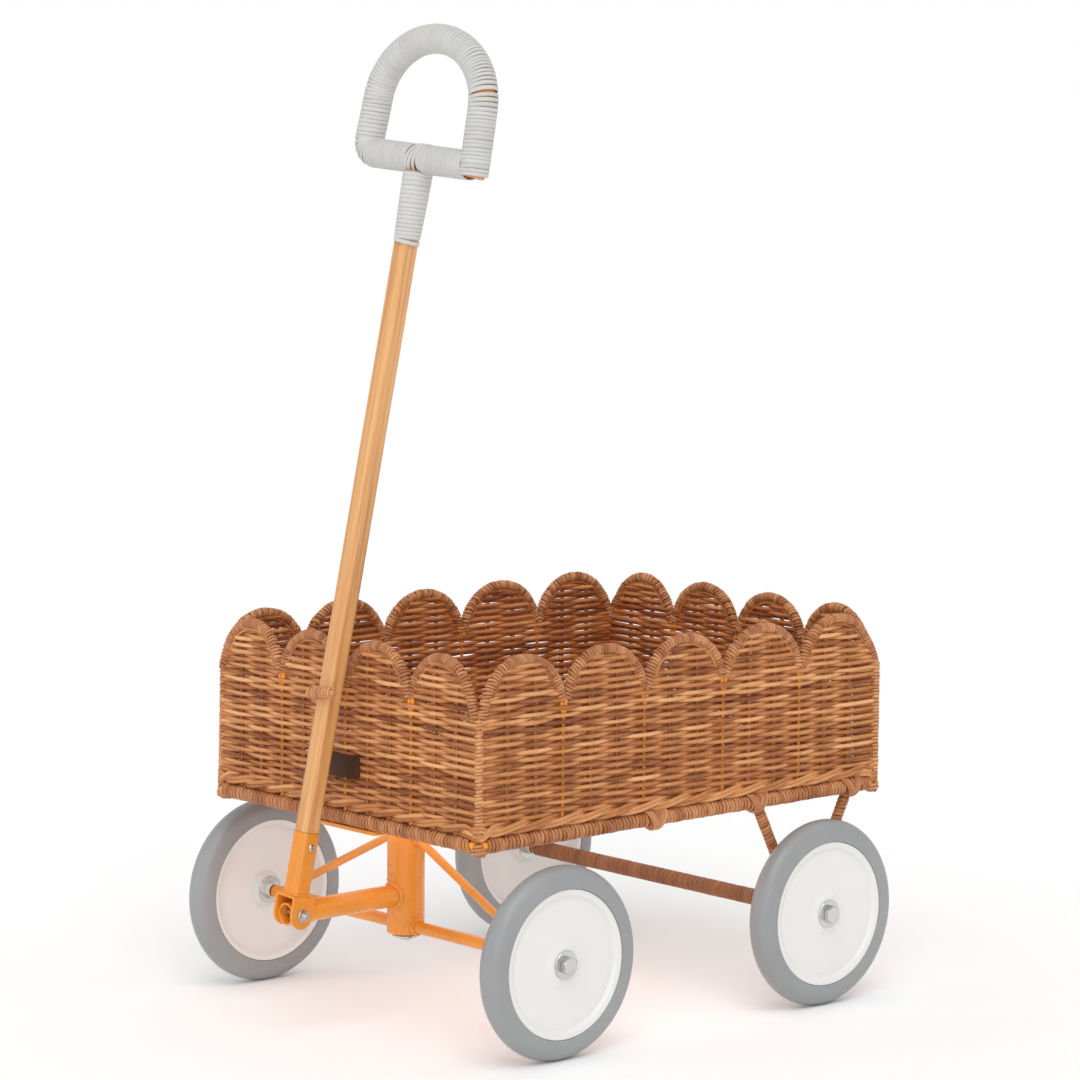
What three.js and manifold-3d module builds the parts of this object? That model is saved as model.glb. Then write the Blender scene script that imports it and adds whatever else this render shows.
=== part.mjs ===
// Wagon with a woven rattan basket on a painted steel chassis, and a pull handle.
// Millimetres, +Z up, the ground at z = 0. The front faces -Y, and left is -X.
import * as THREE from 'three';
import { mergeVertices } from 'three/addons/utils/BufferGeometryUtils.js';
import Module from 'manifold-3d';

const wasm = await Module();
wasm.setup();

// Clearance between pieces that touch.
const GAP = 0.3;

// Everything is drawn about the middle of the basket, then moved to the middle of the whole wagon.
const CENTRE_Y = 37.94;

// Basket: half sizes measured at the middle of the woven walls.
const HALF_WIDTH = 208;
const HALF_LENGTH = 282;
const SIDE_SCALLOPS = 5;
const END_SCALLOPS = 4;
const WALL = 9;
const WALL_BOTTOM = 232.9;
const WRAP_BOTTOM = 360;
const ARCH_SPRING = 356.9;
const ARCH_RISE = 51.6;
const ARCH_STEPS = 6;
const ROD_R = 2.4;
const RIM_R = 5.4;
const LEG_OFFSET = 2.6;
const END_CORNER_INSET = 9.8;
const SIDE_CORNER_INSET = 6;
const FLOOR_Z = 223.3;
const FLOOR_T = 7;

// Base ring, its wrapping and the bars under the floor.
const RAIL_Z = 224.5;
const RAIL_ROD_R = 5.3;
const RAIL_WRAP_R = 8;
const RAIL_WRAP_END = 14;
const BARS = [
  { y: -118, half: HALF_WIDTH - 2, r: 3.6 },
  { y: -43, half: HALF_WIDTH + 6, r: 5 },
  { y: 56, half: HALF_WIDTH - 2, r: 3.6 },
];

// Steering: the head tube turns on the kingpin below the plate.
const FRONT_Y = -200;
const REAR_Y = 177.5;
const HUB_Z = 100;
const PLATE_TOP = 216.2;
const PLATE_T = 4.2;
const HEAD_R = 19.7;
const HEAD_BOTTOM = 92;
const HEAD_BORE_R = 6.5;
const KINGPIN_R = 6;
const AXLE_R = 6.6;
const AXLE_BORE_R = 5.3;
const AXLE_HALF = 218.4;
const BRACE_R = 4.5;
const TONGUE_R = 11.7;
const TONGUE_BORE_R = 9.7;

// Wheels.
const WHEEL_X = 236.5;
const WHEEL_R = 100;
const TYRE_HALF = 14;
const DISC_R = 77.2;
const TYRE_BORE_R = 78;
const BOLT_R = 5;
const WASHER_R = 15;

// Handle: pivots on the clevis bolt, leans back over the basket and a little to the right.
const PIVOT = new THREE.Vector3(0, -351, 133);
const LEAN = 9.93;
const SIDE_TILT = 2.8;
const EAR_R = 14.5;
const EAR_IN = 12.2;
const EAR_T = 3;
const BRIDGE_Z = 16.4;
const SLEEVE_TOP = 84.4;
const SLEEVE_HALF = 10.9;
const SLEEVE_BORE = 9.5;
const TENON_HALF = 9.2;
const POLE_HALF = 10.2;
const NECK_BOTTOM = 694;
const GRIP_BAR_Z = 780.5;
const GRIP_TOP_Z = 903.6;
const GRIP_HALF = 81.5;
const GRIP_FOOT = 84;
const GRIP_SHOULDER_Z = 835;
const GRIP_CORE_R = 12.2;
const GRIP_WRAP_R = 15.6;

const PAINT = { color: 0xe88a2c, metalness: 0.2, roughness: 0.4 };
const STEEL = { color: 0xb9bcbd, metalness: 0.9, roughness: 0.35 };
const RATTAN = { color: 0xb0743f, metalness: 0, roughness: 0.7 };
const WOOD = { color: 0xd9a25c, metalness: 0, roughness: 0.5 };
const TAPE = { color: 0xd9d8d3, metalness: 0, roughness: 0.6 };
const LEATHER = { color: 0x3a2015, metalness: 0, roughness: 0.5 };
const RUBBER = { color: 0x84878a, metalness: 0, roughness: 0.8 };
const WHITE = { color: 0xf1f0ea, metalness: 0, roughness: 0.35 };

const part = new THREE.Group();
part.position.y = CENTRE_Y;

// A three.js geometry as a solid that can be joined and cut.
function solid(geometry) {
  const bare = geometry.index ? geometry.toNonIndexed() : geometry.clone();
  bare.deleteAttribute('normal');
  bare.deleteAttribute('uv');
  const merged = mergeVertices(bare, 1e-4);
  const mesh = new wasm.Mesh({
    numProp: 3,
    vertProperties: new Float32Array(merged.attributes.position.array),
    triVerts: new Uint32Array(merged.index.array),
  });
  return new wasm.Manifold(mesh);
}

function join(solids) {
  return solids.reduce((whole, next) => whole.add(next));
}

function cut(whole, ...tools) {
  return tools.reduce((left, tool) => left.subtract(tool), whole);
}

// Adds a solid to the part as one named mesh, moved by an optional matrix.
function add(name, body, look, matrix) {
  const mesh = body.getMesh();
  const geometry = new THREE.BufferGeometry();
  const points = new Float32Array(mesh.vertProperties);
  geometry.setAttribute('position', new THREE.BufferAttribute(points, 3));
  geometry.setIndex(new THREE.BufferAttribute(new Uint32Array(mesh.triVerts), 1));
  if (matrix) geometry.applyMatrix4(matrix);
  geometry.computeVertexNormals();
  const piece = new THREE.Mesh(geometry, new THREE.MeshStandardMaterial(look));
  piece.name = name;
  part.add(piece);
}

function box(sizeX, sizeY, sizeZ, x, y, z) {
  return solid(new THREE.BoxGeometry(sizeX, sizeY, sizeZ).translate(x, y, z));
}

// A round rod from one point to another. A second radius makes it taper.
function rod(from, to, radius, sides = 12, endRadius = radius) {
  const a = new THREE.Vector3(...from);
  const b = new THREE.Vector3(...to);
  const span = b.clone().sub(a);
  const turn = new THREE.Quaternion().setFromUnitVectors(
    new THREE.Vector3(0, 0, 1),
    span.clone().normalize(),
  );
  const geometry = new THREE.CylinderGeometry(
    endRadius, radius, span.length(), sides, 1, false, Math.PI / sides,
  );
  geometry.rotateX(Math.PI / 2);
  geometry.applyQuaternion(turn);
  geometry.translate(...a.add(b).multiplyScalar(0.5).toArray());
  return solid(geometry);
}

// A ring or wheel turned about the X axis from [x, radius] points.
function turned(points, sides = 32) {
  const profile = points.map(([x, r]) => new THREE.Vector2(r, x));
  const geometry = new THREE.LatheGeometry(profile, sides);
  geometry.rotateZ(-Math.PI / 2);
  return solid(geometry);
}

// A circle section swept along a curve.
function swept(curve, radius, sides, steps) {
  const section = new THREE.Shape();
  for (let i = 0; i < sides; i += 1) {
    const angle = (2 * Math.PI * i) / sides;
    const x = radius * Math.cos(angle);
    const y = radius * Math.sin(angle);
    if (i === 0) section.moveTo(x, y);
    else section.lineTo(x, y);
  }
  section.closePath();
  const geometry = new THREE.ExtrudeGeometry(section, { steps, extrudePath: curve });
  return solid(geometry);
}

// A bar of rounded square section that stands along Z.
function squareBar(half, radius, bottom, top) {
  const section = new THREE.Shape();
  const flat = half - radius;
  section.absarc(flat, flat, radius, 0, Math.PI / 2);
  section.absarc(-flat, flat, radius, Math.PI / 2, Math.PI);
  section.absarc(-flat, -flat, radius, Math.PI, 1.5 * Math.PI);
  section.absarc(flat, -flat, radius, 1.5 * Math.PI, 2 * Math.PI);
  const geometry = new THREE.ExtrudeGeometry(section, {
    depth: top - bottom,
    bevelEnabled: false,
    curveSegments: 2,
  });
  return solid(geometry.translate(0, 0, bottom));
}

function hexagon(acrossFlats, x0, x1) {
  return rod([x0, 0, 0], [x1, 0, 0], acrossFlats / Math.sqrt(3), 6);
}

// ---------------------------------------------------------------- basket walls

// One scallop in the X-Z plane: up the left leg, over the arch and down the right leg.
class Hoop extends THREE.Curve {
  constructor(bay, bottom) {
    super();
    this.points = [new THREE.Vector3(bay.left, 0, bottom)];
    for (let i = 0; i <= ARCH_STEPS; i += 1) {
      const angle = Math.PI * (1 - i / ARCH_STEPS);
      const x = bay.middle + bay.half * Math.cos(angle);
      const z = ARCH_SPRING + ARCH_RISE * Math.sin(angle);
      this.points.push(new THREE.Vector3(x, 0, z));
    }
    this.points.push(new THREE.Vector3(bay.right, 0, bottom));
  }

  getPointAt(t) {
    return this.points[Math.round(t * (this.points.length - 1))].clone();
  }

  getTangentAt(t) {
    const i = Math.round(t * (this.points.length - 1));
    const before = this.points[Math.max(i - 1, 0)];
    const after = this.points[Math.min(i + 1, this.points.length - 1)];
    const inward = this.points[i].clone().sub(before).normalize();
    const outward = after.clone().sub(this.points[i]).normalize();
    return inward.add(outward).normalize();
  }
}

// The scallops along a wall, as the middle and half width of each hoop.
function bays(half, count, cornerInset) {
  const pitch = (2 * half) / count;
  const list = [];
  for (let i = 0; i < count; i += 1) {
    const left = i === 0 ? -half + cornerInset : -half + i * pitch + LEG_OFFSET;
    const right = i === count - 1 ? half - cornerInset : -half + (i + 1) * pitch - LEG_OFFSET;
    list.push({ middle: (left + right) / 2, half: (right - left) / 2, left, right });
  }
  return list;
}

function hoops(list, radius, bottom) {
  return join(list.map((bay) => swept(new Hoop(bay, bottom), radius, 6, ARCH_STEPS + 2)));
}

// The rattan wound round the arches, from just below each notch over the top.
function rimWrap(list) {
  const outer = hoops(list, RIM_R, WRAP_BOTTOM - 10);
  const bore = hoops(list, ROD_R + 0.4, WRAP_BOTTOM - 20);
  const below = box(800, 60, 60, 0, 0, WRAP_BOTTOM - 30);
  return cut(outer, bore, below);
}

// A woven wall: a slab with a scalloped top, with a channel for each pair of hoop legs.
function wovenWall(list, halfLength) {
  const clear = RIM_R + GAP + 0.3;
  const height = WRAP_BOTTOM - GAP - WALL_BOTTOM;
  const slab = box(2 * halfLength, WALL, height, 0, 0, WALL_BOTTOM + height / 2);
  const scallops = list.map((bay) => {
    const outline = new THREE.Shape();
    for (let i = 0; i <= ARCH_STEPS; i += 1) {
      const angle = (Math.PI * i) / ARCH_STEPS;
      const x = bay.middle + (bay.half - clear) * Math.cos(angle);
      const z = ARCH_SPRING + (ARCH_RISE - clear) * Math.sin(angle);
      if (i === 0) outline.moveTo(x, z);
      else outline.lineTo(x, z);
    }
    outline.closePath();
    const sheet = new THREE.ExtrudeGeometry(outline, { depth: WALL, bevelEnabled: false });
    return solid(sheet.rotateX(Math.PI / 2).translate(0, WALL / 2, 0));
  });
  const channels = [];
  const deep = 2 * (ROD_R + 0.4);
  const wide = 2 * (ROD_R + 1.4);
  const tall = ARCH_SPRING + 30 - WALL_BOTTOM;
  const middleZ = WALL_BOTTOM + tall / 2 - 1;
  list.forEach((bay, i) => {
    const last = list[i + 1];
    const right = last ? last.left : bay.right;
    if (i === 0) channels.push(box(wide, deep, tall, bay.left, 0, middleZ));
    channels.push(box(right - bay.right + wide, deep, tall, (bay.right + right) / 2, 0, middleZ));
  });
  return cut(join([slab, ...scallops]), ...channels);
}

// A six-sided rod along a wall's base, with a flat on top for the hoops to stand on.
function hexRail(radius, reach) {
  const geometry = new THREE.CylinderGeometry(radius, radius, 2 * reach, 6, 1, false, 0);
  geometry.rotateZ(Math.PI / 2);
  geometry.translate(0, 0, RAIL_Z);
  return solid(geometry);
}

const WALLS = [
  { name: 'front', x: 0, y: -HALF_LENGTH, turn: 0 },
  { name: 'rear', x: 0, y: HALF_LENGTH, turn: 180 },
  { name: 'right', x: HALF_WIDTH, y: 0, turn: 90 },
  { name: 'left', x: -HALF_WIDTH, y: 0, turn: -90 },
];

function wallMatrix(wall) {
  const matrix = new THREE.Matrix4().makeRotationZ(THREE.MathUtils.degToRad(wall.turn));
  return matrix.setPosition(wall.x, wall.y, 0);
}

function placed(body, wall) {
  return body.rotate([0, 0, wall.turn]).translate([wall.x, wall.y, 0]);
}

const endBays = bays(HALF_WIDTH, END_SCALLOPS, END_CORNER_INSET);
const sideBays = bays(HALF_LENGTH, SIDE_SCALLOPS, SIDE_CORNER_INSET);
const frameRods = [];
for (const wall of WALLS) {
  const isEnd = wall.x === 0;
  const list = isEnd ? endBays : sideBays;
  const half = isEnd ? HALF_WIDTH - WALL / 2 - GAP : HALF_LENGTH + WALL / 2;
  add(`woven_wall_${wall.name}`, wovenWall(list, half), RATTAN, wallMatrix(wall));
  add(`rim_wrap_${wall.name}`, rimWrap(list), RATTAN, wallMatrix(wall));
  frameRods.push(placed(hoops(list, ROD_R, RAIL_Z), wall));
}

// The welded frame: base ring, bars under the floor, and the hoops of all four walls.
for (const wall of WALLS) {
  const reach = wall.x === 0 ? HALF_WIDTH : HALF_LENGTH;
  frameRods.push(placed(hexRail(RAIL_ROD_R, reach), wall));
}
for (const x of [-HALF_WIDTH, HALF_WIDTH]) {
  for (const y of [-HALF_LENGTH, HALF_LENGTH]) {
    frameRods.push(solid(new THREE.SphereGeometry(RAIL_ROD_R - 0.3, 8, 6).translate(x, y, RAIL_Z)));
  }
}
const barZ = (bar) => FLOOR_Z - GAP - bar.r;
for (const bar of BARS) {
  frameRods.push(rod([-bar.half, bar.y, barZ(bar)], [bar.half, bar.y, barZ(bar)], bar.r, 8));
}
add('basket_frame', join(frameRods), PAINT);

// The winding on each side of the base ring, open along the top for the hoop legs.
for (const wall of WALLS) {
  const reach = (wall.x === 0 ? HALF_WIDTH : HALF_LENGTH) - RAIL_WRAP_END;
  const outer = rod([-reach, 0, RAIL_Z], [reach, 0, RAIL_Z], RAIL_WRAP_R, 10);
  const bore = hexRail(RAIL_ROD_R + 0.4, reach + 1);
  const slot = box(2 * reach + 2, 2 * ROD_R + 0.8, 10, 0, 0, RAIL_Z + 5);
  const bars = wall.x === 0 ? [] : BARS.map((bar) => {
    const along = wall.x > 0 ? bar.y : -bar.y;
    return rod([along, -20, barZ(bar)], [along, 20, barZ(bar)], bar.r + 0.5, 8);
  });
  add(`rail_wrap_${wall.name}`, cut(outer, bore, slot, ...bars), RATTAN, wallMatrix(wall));
}

// The woven floor lies on the bars, inside the ring.
const floorX = HALF_WIDTH - RAIL_WRAP_R - 0.6;
const floorY = HALF_LENGTH - RAIL_WRAP_R - 0.6;
add('woven_floor', box(2 * floorX, 2 * floorY, FLOOR_T, 0, 0, FLOOR_Z + FLOOR_T / 2), RATTAN);

// A keeper hook on the front wall holds the parked handle.
const hookWall = -HALF_LENGTH - WALL / 2 - GAP;
const hookPath = new THREE.CurvePath();
hookPath.add(new THREE.LineCurve3(
  new THREE.Vector3(-6, hookWall, 352),
  new THREE.Vector3(-6, -321, 356),
));
hookPath.add(new THREE.QuadraticBezierCurve3(
  new THREE.Vector3(-6, -321, 356),
  new THREE.Vector3(-6, -328, 356.8),
  new THREE.Vector3(2, -328, 358),
));
hookPath.add(new THREE.LineCurve3(
  new THREE.Vector3(2, -328, 358),
  new THREE.Vector3(35, -328, 363),
));
const hookTrim = box(60, 30, 60, 0, hookWall + 15, 352);
add('handle_hook', cut(swept(hookPath, 5.2, 8, 9), hookTrim), RATTAN);

add('leather_tag', box(57, 2, 24, 0, hookWall - 1, 280), LEATHER);

// ---------------------------------------------------------------- chassis

// The plate under the front of the basket, welded below the ring and the first bar.
const plateFront = -286;
const plateRear = BARS[0].y - BARS[0].r - GAP;
const plateMiddle = (plateFront + plateRear) / 2;
const plateZ = PLATE_TOP - PLATE_T / 2;
const plate = box(100, plateRear - plateFront, PLATE_T, 0, plateMiddle, plateZ);
const plateHole = rod([0, FRONT_Y, 200], [0, FRONT_Y, 230], HEAD_BORE_R, 16);
add('steering_plate', cut(plate, plateHole), PAINT);

const kingpinHead = rod([0, FRONT_Y, PLATE_TOP + GAP], [0, FRONT_Y, 223], 11, 6);
const kingpinShank = rod([0, FRONT_Y, 86], [0, FRONT_Y, 217], KINGPIN_R, 16);
add('kingpin_bolt', join([kingpinHead, kingpinShank]), STEEL);

const nutWasher = rod([0, FRONT_Y, 89.3], [0, FRONT_Y, HEAD_BOTTOM - GAP], 13.5, 20);
const nutHex = rod([0, FRONT_Y, 85.2], [0, FRONT_Y, 89.4], 10.4, 6);
const nutHole = rod([0, FRONT_Y, 80], [0, FRONT_Y, 95], HEAD_BORE_R - 0.15, 16);
add('kingpin_nut', cut(join([nutWasher, nutHex]), nutHole), STEEL);

const headTop = PLATE_TOP - PLATE_T - GAP;
const head = rod([0, FRONT_Y, HEAD_BOTTOM], [0, FRONT_Y, headTop], HEAD_R, 28);
const headBore = rod([0, FRONT_Y, 80], [0, FRONT_Y, 230], HEAD_BORE_R, 16);
add('steering_head_tube', cut(head, headBore), PAINT);

// Tools that leave the fit gap where other tubes meet the head tube and the axles.
const headRoom = rod([0, FRONT_Y, 70], [0, FRONT_Y, 240], HEAD_R + GAP + 0.15, 28);

const tongueEnd = PIVOT.y - 10;
const tongue = rod([0, FRONT_Y, PIVOT.z], [0, tongueEnd, PIVOT.z], TONGUE_R, 20);
const tongueBore = rod([0, FRONT_Y, PIVOT.z], [0, tongueEnd - 5, PIVOT.z], TONGUE_BORE_R, 16);
const tongueHole = rod([-20, PIVOT.y, PIVOT.z], [20, PIVOT.y, PIVOT.z], 3.7, 12);
add('tongue_tube', cut(tongue, tongueBore, tongueHole, headRoom), PAINT);

for (const [side, sign] of [['right', 1], ['left', -1]]) {
  const tube = rod([0, FRONT_Y, HUB_Z], [sign * AXLE_HALF, FRONT_Y, HUB_Z], AXLE_R, 16);
  const bore = rod([0, FRONT_Y, HUB_Z], [sign * (AXLE_HALF + 5), FRONT_Y, HUB_Z], AXLE_BORE_R, 12);
  add(`axle_tube_front_${side}`, cut(tube, bore, headRoom), PAINT);

  const brace = rod([sign * 10, FRONT_Y, 198.5], [sign * 203, FRONT_Y, 102], BRACE_R, 10);
  const axleRoom = rod([0, FRONT_Y, HUB_Z], [sign * 240, FRONT_Y, HUB_Z], AXLE_R + GAP + 0.1, 16);
  add(`axle_brace_${side}`, cut(brace, headRoom, axleRoom), PAINT);
}

// Rear axle: a steel tube inside a winding, held by two wound struts on each side.
const rearAxle = rod([-AXLE_HALF, REAR_Y, HUB_Z], [AXLE_HALF, REAR_Y, HUB_Z], AXLE_R, 16);
const rearBore = rod([-240, REAR_Y, HUB_Z], [240, REAR_Y, HUB_Z], AXLE_BORE_R, 12);
add('rear_axle_tube', cut(rearAxle, rearBore), PAINT);

const REAR_WRAP_R = 8.9;
const rearWrap = rod([-214, REAR_Y, HUB_Z], [214, REAR_Y, HUB_Z], REAR_WRAP_R, 14);
const rearWrapBore = rod([-240, REAR_Y, HUB_Z], [240, REAR_Y, HUB_Z], AXLE_R + GAP + 0.15, 16);
add('rear_axle_wrap', cut(rearWrap, rearWrapBore), RATTAN);

const strutRoomR = REAR_WRAP_R + GAP + 0.15;
const strutAxleRoom = rod([-240, REAR_Y, HUB_Z], [240, REAR_Y, HUB_Z], strutRoomR, 14);
for (const [side, sign] of [['right', 1], ['left', -1]]) {
  const x = sign * 207;
  const railX = sign * HALF_WIDTH;
  const railRoom = rod([railX, -400, RAIL_Z], [railX, 400, RAIL_Z], RAIL_WRAP_R + GAP + 0.5, 14);
  for (const [place, way] of [['front', -1], ['rear', 1]]) {
    const top = [x, REAR_Y + way * 72, RAIL_Z];
    const foot = [x, REAR_Y + way * 7.6, HUB_Z + 3];
    const strut = rod(top, foot, 6, 12);
    add(`rear_strut_${side}_${place}`, cut(strut, railRoom, strutAxleRoom), RATTAN);
  }
}

// ---------------------------------------------------------------- wheels

// Everything here is turned about X, with the outer side at +X and the tyre's middle at x = 0.
const tyreProfile = [
  [-TYRE_HALF, TYRE_BORE_R],
  [TYRE_HALF, TYRE_BORE_R],
  [TYRE_HALF, 87.5],
  [9.5, 97.4],
  [0, WHEEL_R],
  [-9.5, 97.4],
  [-TYRE_HALF, 87.5],
  [-TYRE_HALF, TYRE_BORE_R],
];
const discProfile = [
  [12, BOLT_R + 0.5],
  [-7.5, BOLT_R + 0.5],
  [-7.5, 16],
  [1.5, 20],
  [1.5, 66],
  [-12, 72.5],
  [-12, DISC_R],
  [12, DISC_R],
  [12, 73],
  [7, 66],
  [8, 20],
  [12, 16],
  [12, BOLT_R + 0.5],
];
const tyre = turned([...tyreProfile].reverse(), 32);
const disc = turned(discProfile, 24);
const washerFace = 12 + GAP;
const washer = cut(
  rod([washerFace, 0, 0], [washerFace + 2, 0, 0], WASHER_R, 20),
  rod([0, 0, 0], [40, 0, 0], BOLT_R + 0.4, 10),
);
const boltFace = washerFace + 2 + GAP;
const bolt = join([
  hexagon(17, boltFace, boltFace + 6.4),
  rod([-40, 0, 0], [boltFace + 1, 0, 0], BOLT_R, 12),
]);
const nut = cut(
  join([
    rod([-9.8, 0, 0], [-7.8, 0, 0], WASHER_R, 20),
    hexagon(17, -17.6, -9.7),
  ]),
  rod([-30, 0, 0], [0, 0, 0], BOLT_R + 0.4, 12),
);
for (const [place, y] of [['front', FRONT_Y], ['rear', REAR_Y]]) {
  for (const [side, sign] of [['right', 1], ['left', -1]]) {
    const matrix = new THREE.Matrix4().makeRotationZ(sign > 0 ? 0 : Math.PI);
    matrix.setPosition(sign * WHEEL_X, y, HUB_Z);
    add(`tyre_${place}_${side}`, tyre, RUBBER, matrix);
    add(`wheel_disc_${place}_${side}`, disc, WHITE, matrix);
    add(`wheel_washer_${place}_${side}`, washer, STEEL, matrix);
    add(`wheel_bolt_${place}_${side}`, bolt, STEEL, matrix);
    add(`axle_nut_${place}_${side}`, nut, STEEL, matrix);
  }
}

// ---------------------------------------------------------------- handle

// Drawn upright along Z with the clevis bolt along X through the origin, then leaned back.
const handleMatrix = new THREE.Matrix4()
  .makeTranslation(PIVOT.x, PIVOT.y, PIVOT.z)
  .multiply(new THREE.Matrix4().makeRotationY(THREE.MathUtils.degToRad(SIDE_TILT)))
  .multiply(new THREE.Matrix4().makeRotationX(THREE.MathUtils.degToRad(-LEAN)));

function ear(x) {
  const tab = box(EAR_T, 2 * EAR_R, BRIDGE_Z + 2, x, 0, (BRIDGE_Z + 2) / 2);
  return join([tab, rod([x - EAR_T / 2, 0, 0], [x + EAR_T / 2, 0, 0], EAR_R, 24)]);
}
const earX = EAR_IN + EAR_T / 2;
const bridge = box(2 * (EAR_IN + EAR_T), 2 * EAR_R, 3, 0, 0, BRIDGE_Z + 1.5);
const sleeve = cut(
  squareBar(SLEEVE_HALF, 5.6, BRIDGE_Z + 2.8, SLEEVE_TOP),
  squareBar(SLEEVE_BORE, 4.4, BRIDGE_Z + 3, SLEEVE_TOP + 5),
);
const earHoles = rod([-30, 0, 0], [30, 0, 0], 3.4, 12);
const screwHole = rod([0, 0, 70], [20, 0, 70], 2.3, 10);
const clevis = cut(join([ear(earX), ear(-earX), bridge, sleeve]), earHoles, screwHole);
add('handle_clevis', clevis, PAINT, handleMatrix);

const earFace = EAR_IN + EAR_T + GAP;
const clevisBolt = join([
  hexagon(10, -earFace - 4, -earFace),
  rod([-earFace - 1, 0, 0], [earFace + 6.6, 0, 0], 3, 12),
]);
add('clevis_bolt', clevisBolt, STEEL, handleMatrix);
const clevisNut = cut(
  join([
    rod([earFace, 0, 0], [earFace + 1.4, 0, 0], 6.2, 16),
    hexagon(10, earFace + 1.3, earFace + 5),
    rod([earFace + 4.9, 0, 0], [earFace + 6.2, 0, 0], 4.6, 14),
  ]),
  rod([0, 0, 0], [40, 0, 0], 3.35, 12),
);
add('clevis_nut', clevisNut, STEEL, handleMatrix);
const screw = join([
  rod([SLEEVE_HALF + 0.2, 0, 70], [SLEEVE_HALF + 2.2, 0, 70], 3.7, 16, 2.6),
  rod([SLEEVE_HALF - 9, 0, 70], [SLEEVE_HALF + 0.5, 0, 70], 1.9, 10),
]);
add('sleeve_screw', screw, STEEL, handleMatrix);

// The wooden pole narrows inside the sleeve and is bored at the top for the grip's spigot.
const poleTop = GRIP_BAR_Z - GRIP_CORE_R - GAP;
const pole = cut(
  join([
    squareBar(TENON_HALF, 4.2, 30, SLEEVE_TOP + 1),
    squareBar(POLE_HALF, 6, SLEEVE_TOP + GAP, poleTop),
  ]),
  rod([0, 0, 714], [0, 0, 800], 5.4, 12),
  rod([0, 0, 70], [20, 0, 70], 2.3, 10),
);
add('wooden_pole', pole, WOOD, handleMatrix);

// The closed loop of the grip above its straight bar: two near-straight legs and an arch.
class GripArch extends THREE.Curve {
  getPoint(t) {
    const angle = Math.PI * (1 - t);
    return new THREE.Vector3(
      GRIP_HALF * Math.cos(angle),
      0,
      GRIP_SHOULDER_Z + (GRIP_TOP_Z - GRIP_SHOULDER_Z) * Math.sin(angle),
    );
  }
}

function gripLoop(radius, footZ) {
  const foot = (sign, z) => [sign * GRIP_FOOT, 0, z];
  const shoulder = (sign) => [sign * GRIP_HALF, 0, GRIP_SHOULDER_Z];
  const ball = (sign, z) => solid(
    new THREE.SphereGeometry(radius, 10, 8).rotateX(Math.PI / 2).translate(sign * GRIP_FOOT, 0, z),
  );
  return join([
    swept(new GripArch(), radius, 10, 10),
    rod(foot(-1, GRIP_BAR_Z), shoulder(-1), radius, 10),
    rod(foot(1, footZ), foot(1, GRIP_BAR_Z + 1), radius, 10),
    rod(foot(1, GRIP_BAR_Z), shoulder(1), radius, 10),
    rod(foot(-1, GRIP_BAR_Z), foot(1, GRIP_BAR_Z), radius, 10),
    ball(-1, GRIP_BAR_Z),
  ]);
}
const gripFoot = GRIP_BAR_Z - GRIP_WRAP_R;
const spigot = rod([0, 0, 718], [0, 0, GRIP_BAR_Z], 5, 12);
add('grip_core', join([gripLoop(GRIP_CORE_R, gripFoot + 0.5), spigot]), PAINT, handleMatrix);

const poleRoom = squareBar(POLE_HALF + GAP, 6.2, 600, GRIP_BAR_Z);
const gripBore = gripLoop(GRIP_CORE_R + 0.35, gripFoot - 5);
add('grip_wrap', cut(gripLoop(GRIP_WRAP_R, gripFoot), gripBore, poleRoom), TAPE, handleMatrix);

const barRoom = rod([-60, 0, GRIP_BAR_Z], [60, 0, GRIP_BAR_Z], GRIP_WRAP_R + GAP, 24);
const neck = rod([0, 0, NECK_BOTTOM], [0, 0, GRIP_BAR_Z - 6], 13.4, 16, 15.2);
add('neck_wrap', cut(neck, poleRoom, barRoom), TAPE, handleMatrix);

export default part;
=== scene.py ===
"""Pull-along wagon: woven rattan basket, painted steel chassis, rubber tyres and a wooden pull handle."""
import math

import bmesh
import bpy
import numpy as np
from mathutils import Matrix, Vector


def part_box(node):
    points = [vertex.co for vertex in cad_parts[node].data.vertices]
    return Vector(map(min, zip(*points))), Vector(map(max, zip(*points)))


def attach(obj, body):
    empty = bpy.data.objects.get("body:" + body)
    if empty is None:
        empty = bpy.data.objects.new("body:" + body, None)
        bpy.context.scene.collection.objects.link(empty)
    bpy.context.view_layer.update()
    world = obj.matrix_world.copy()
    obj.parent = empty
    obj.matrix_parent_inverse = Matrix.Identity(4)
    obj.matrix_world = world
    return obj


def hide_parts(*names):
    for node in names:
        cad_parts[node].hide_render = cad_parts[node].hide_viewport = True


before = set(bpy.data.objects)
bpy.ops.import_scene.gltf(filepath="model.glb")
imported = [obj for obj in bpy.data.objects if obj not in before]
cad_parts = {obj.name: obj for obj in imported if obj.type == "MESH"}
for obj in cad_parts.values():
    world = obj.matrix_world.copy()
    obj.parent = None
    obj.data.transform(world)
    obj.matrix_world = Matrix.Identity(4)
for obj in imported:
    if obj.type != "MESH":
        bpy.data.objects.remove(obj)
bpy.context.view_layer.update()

# ---------------- sizes, in millimetres
# Shapes are drawn about the middle of the basket, on the ground, and moved once to the row frame.
floor_lo, floor_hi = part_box("woven_floor")
ORIGIN = np.array([0.0, 500.0 * (floor_lo[1] + floor_hi[1]), 0.0])

# Basket: half sizes at the middle of the walls, the base ring, and the arches above their springing line.
HALF_W, HALF_L = 208.0, 282.0
RAIL_Z, RAIL_R = 224.5, 5.2
SPRING, RISE = 356.9, 51.6
# Hoop legs: radius, distance from the middle of a valley, and the heights between which two legs part.
LEG_R, LEG_OFF = 2.3, 2.6
LEG_FOOT, LEG_TOP = 342.0, 354.0
# Rows of reed: the lowest row, the height where the valleys begin, the pitch and the reed's radius.
FIRST_ROW, VALLEY = 246.6, 361.2
ROW, REED = 3.72, 2.25
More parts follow.
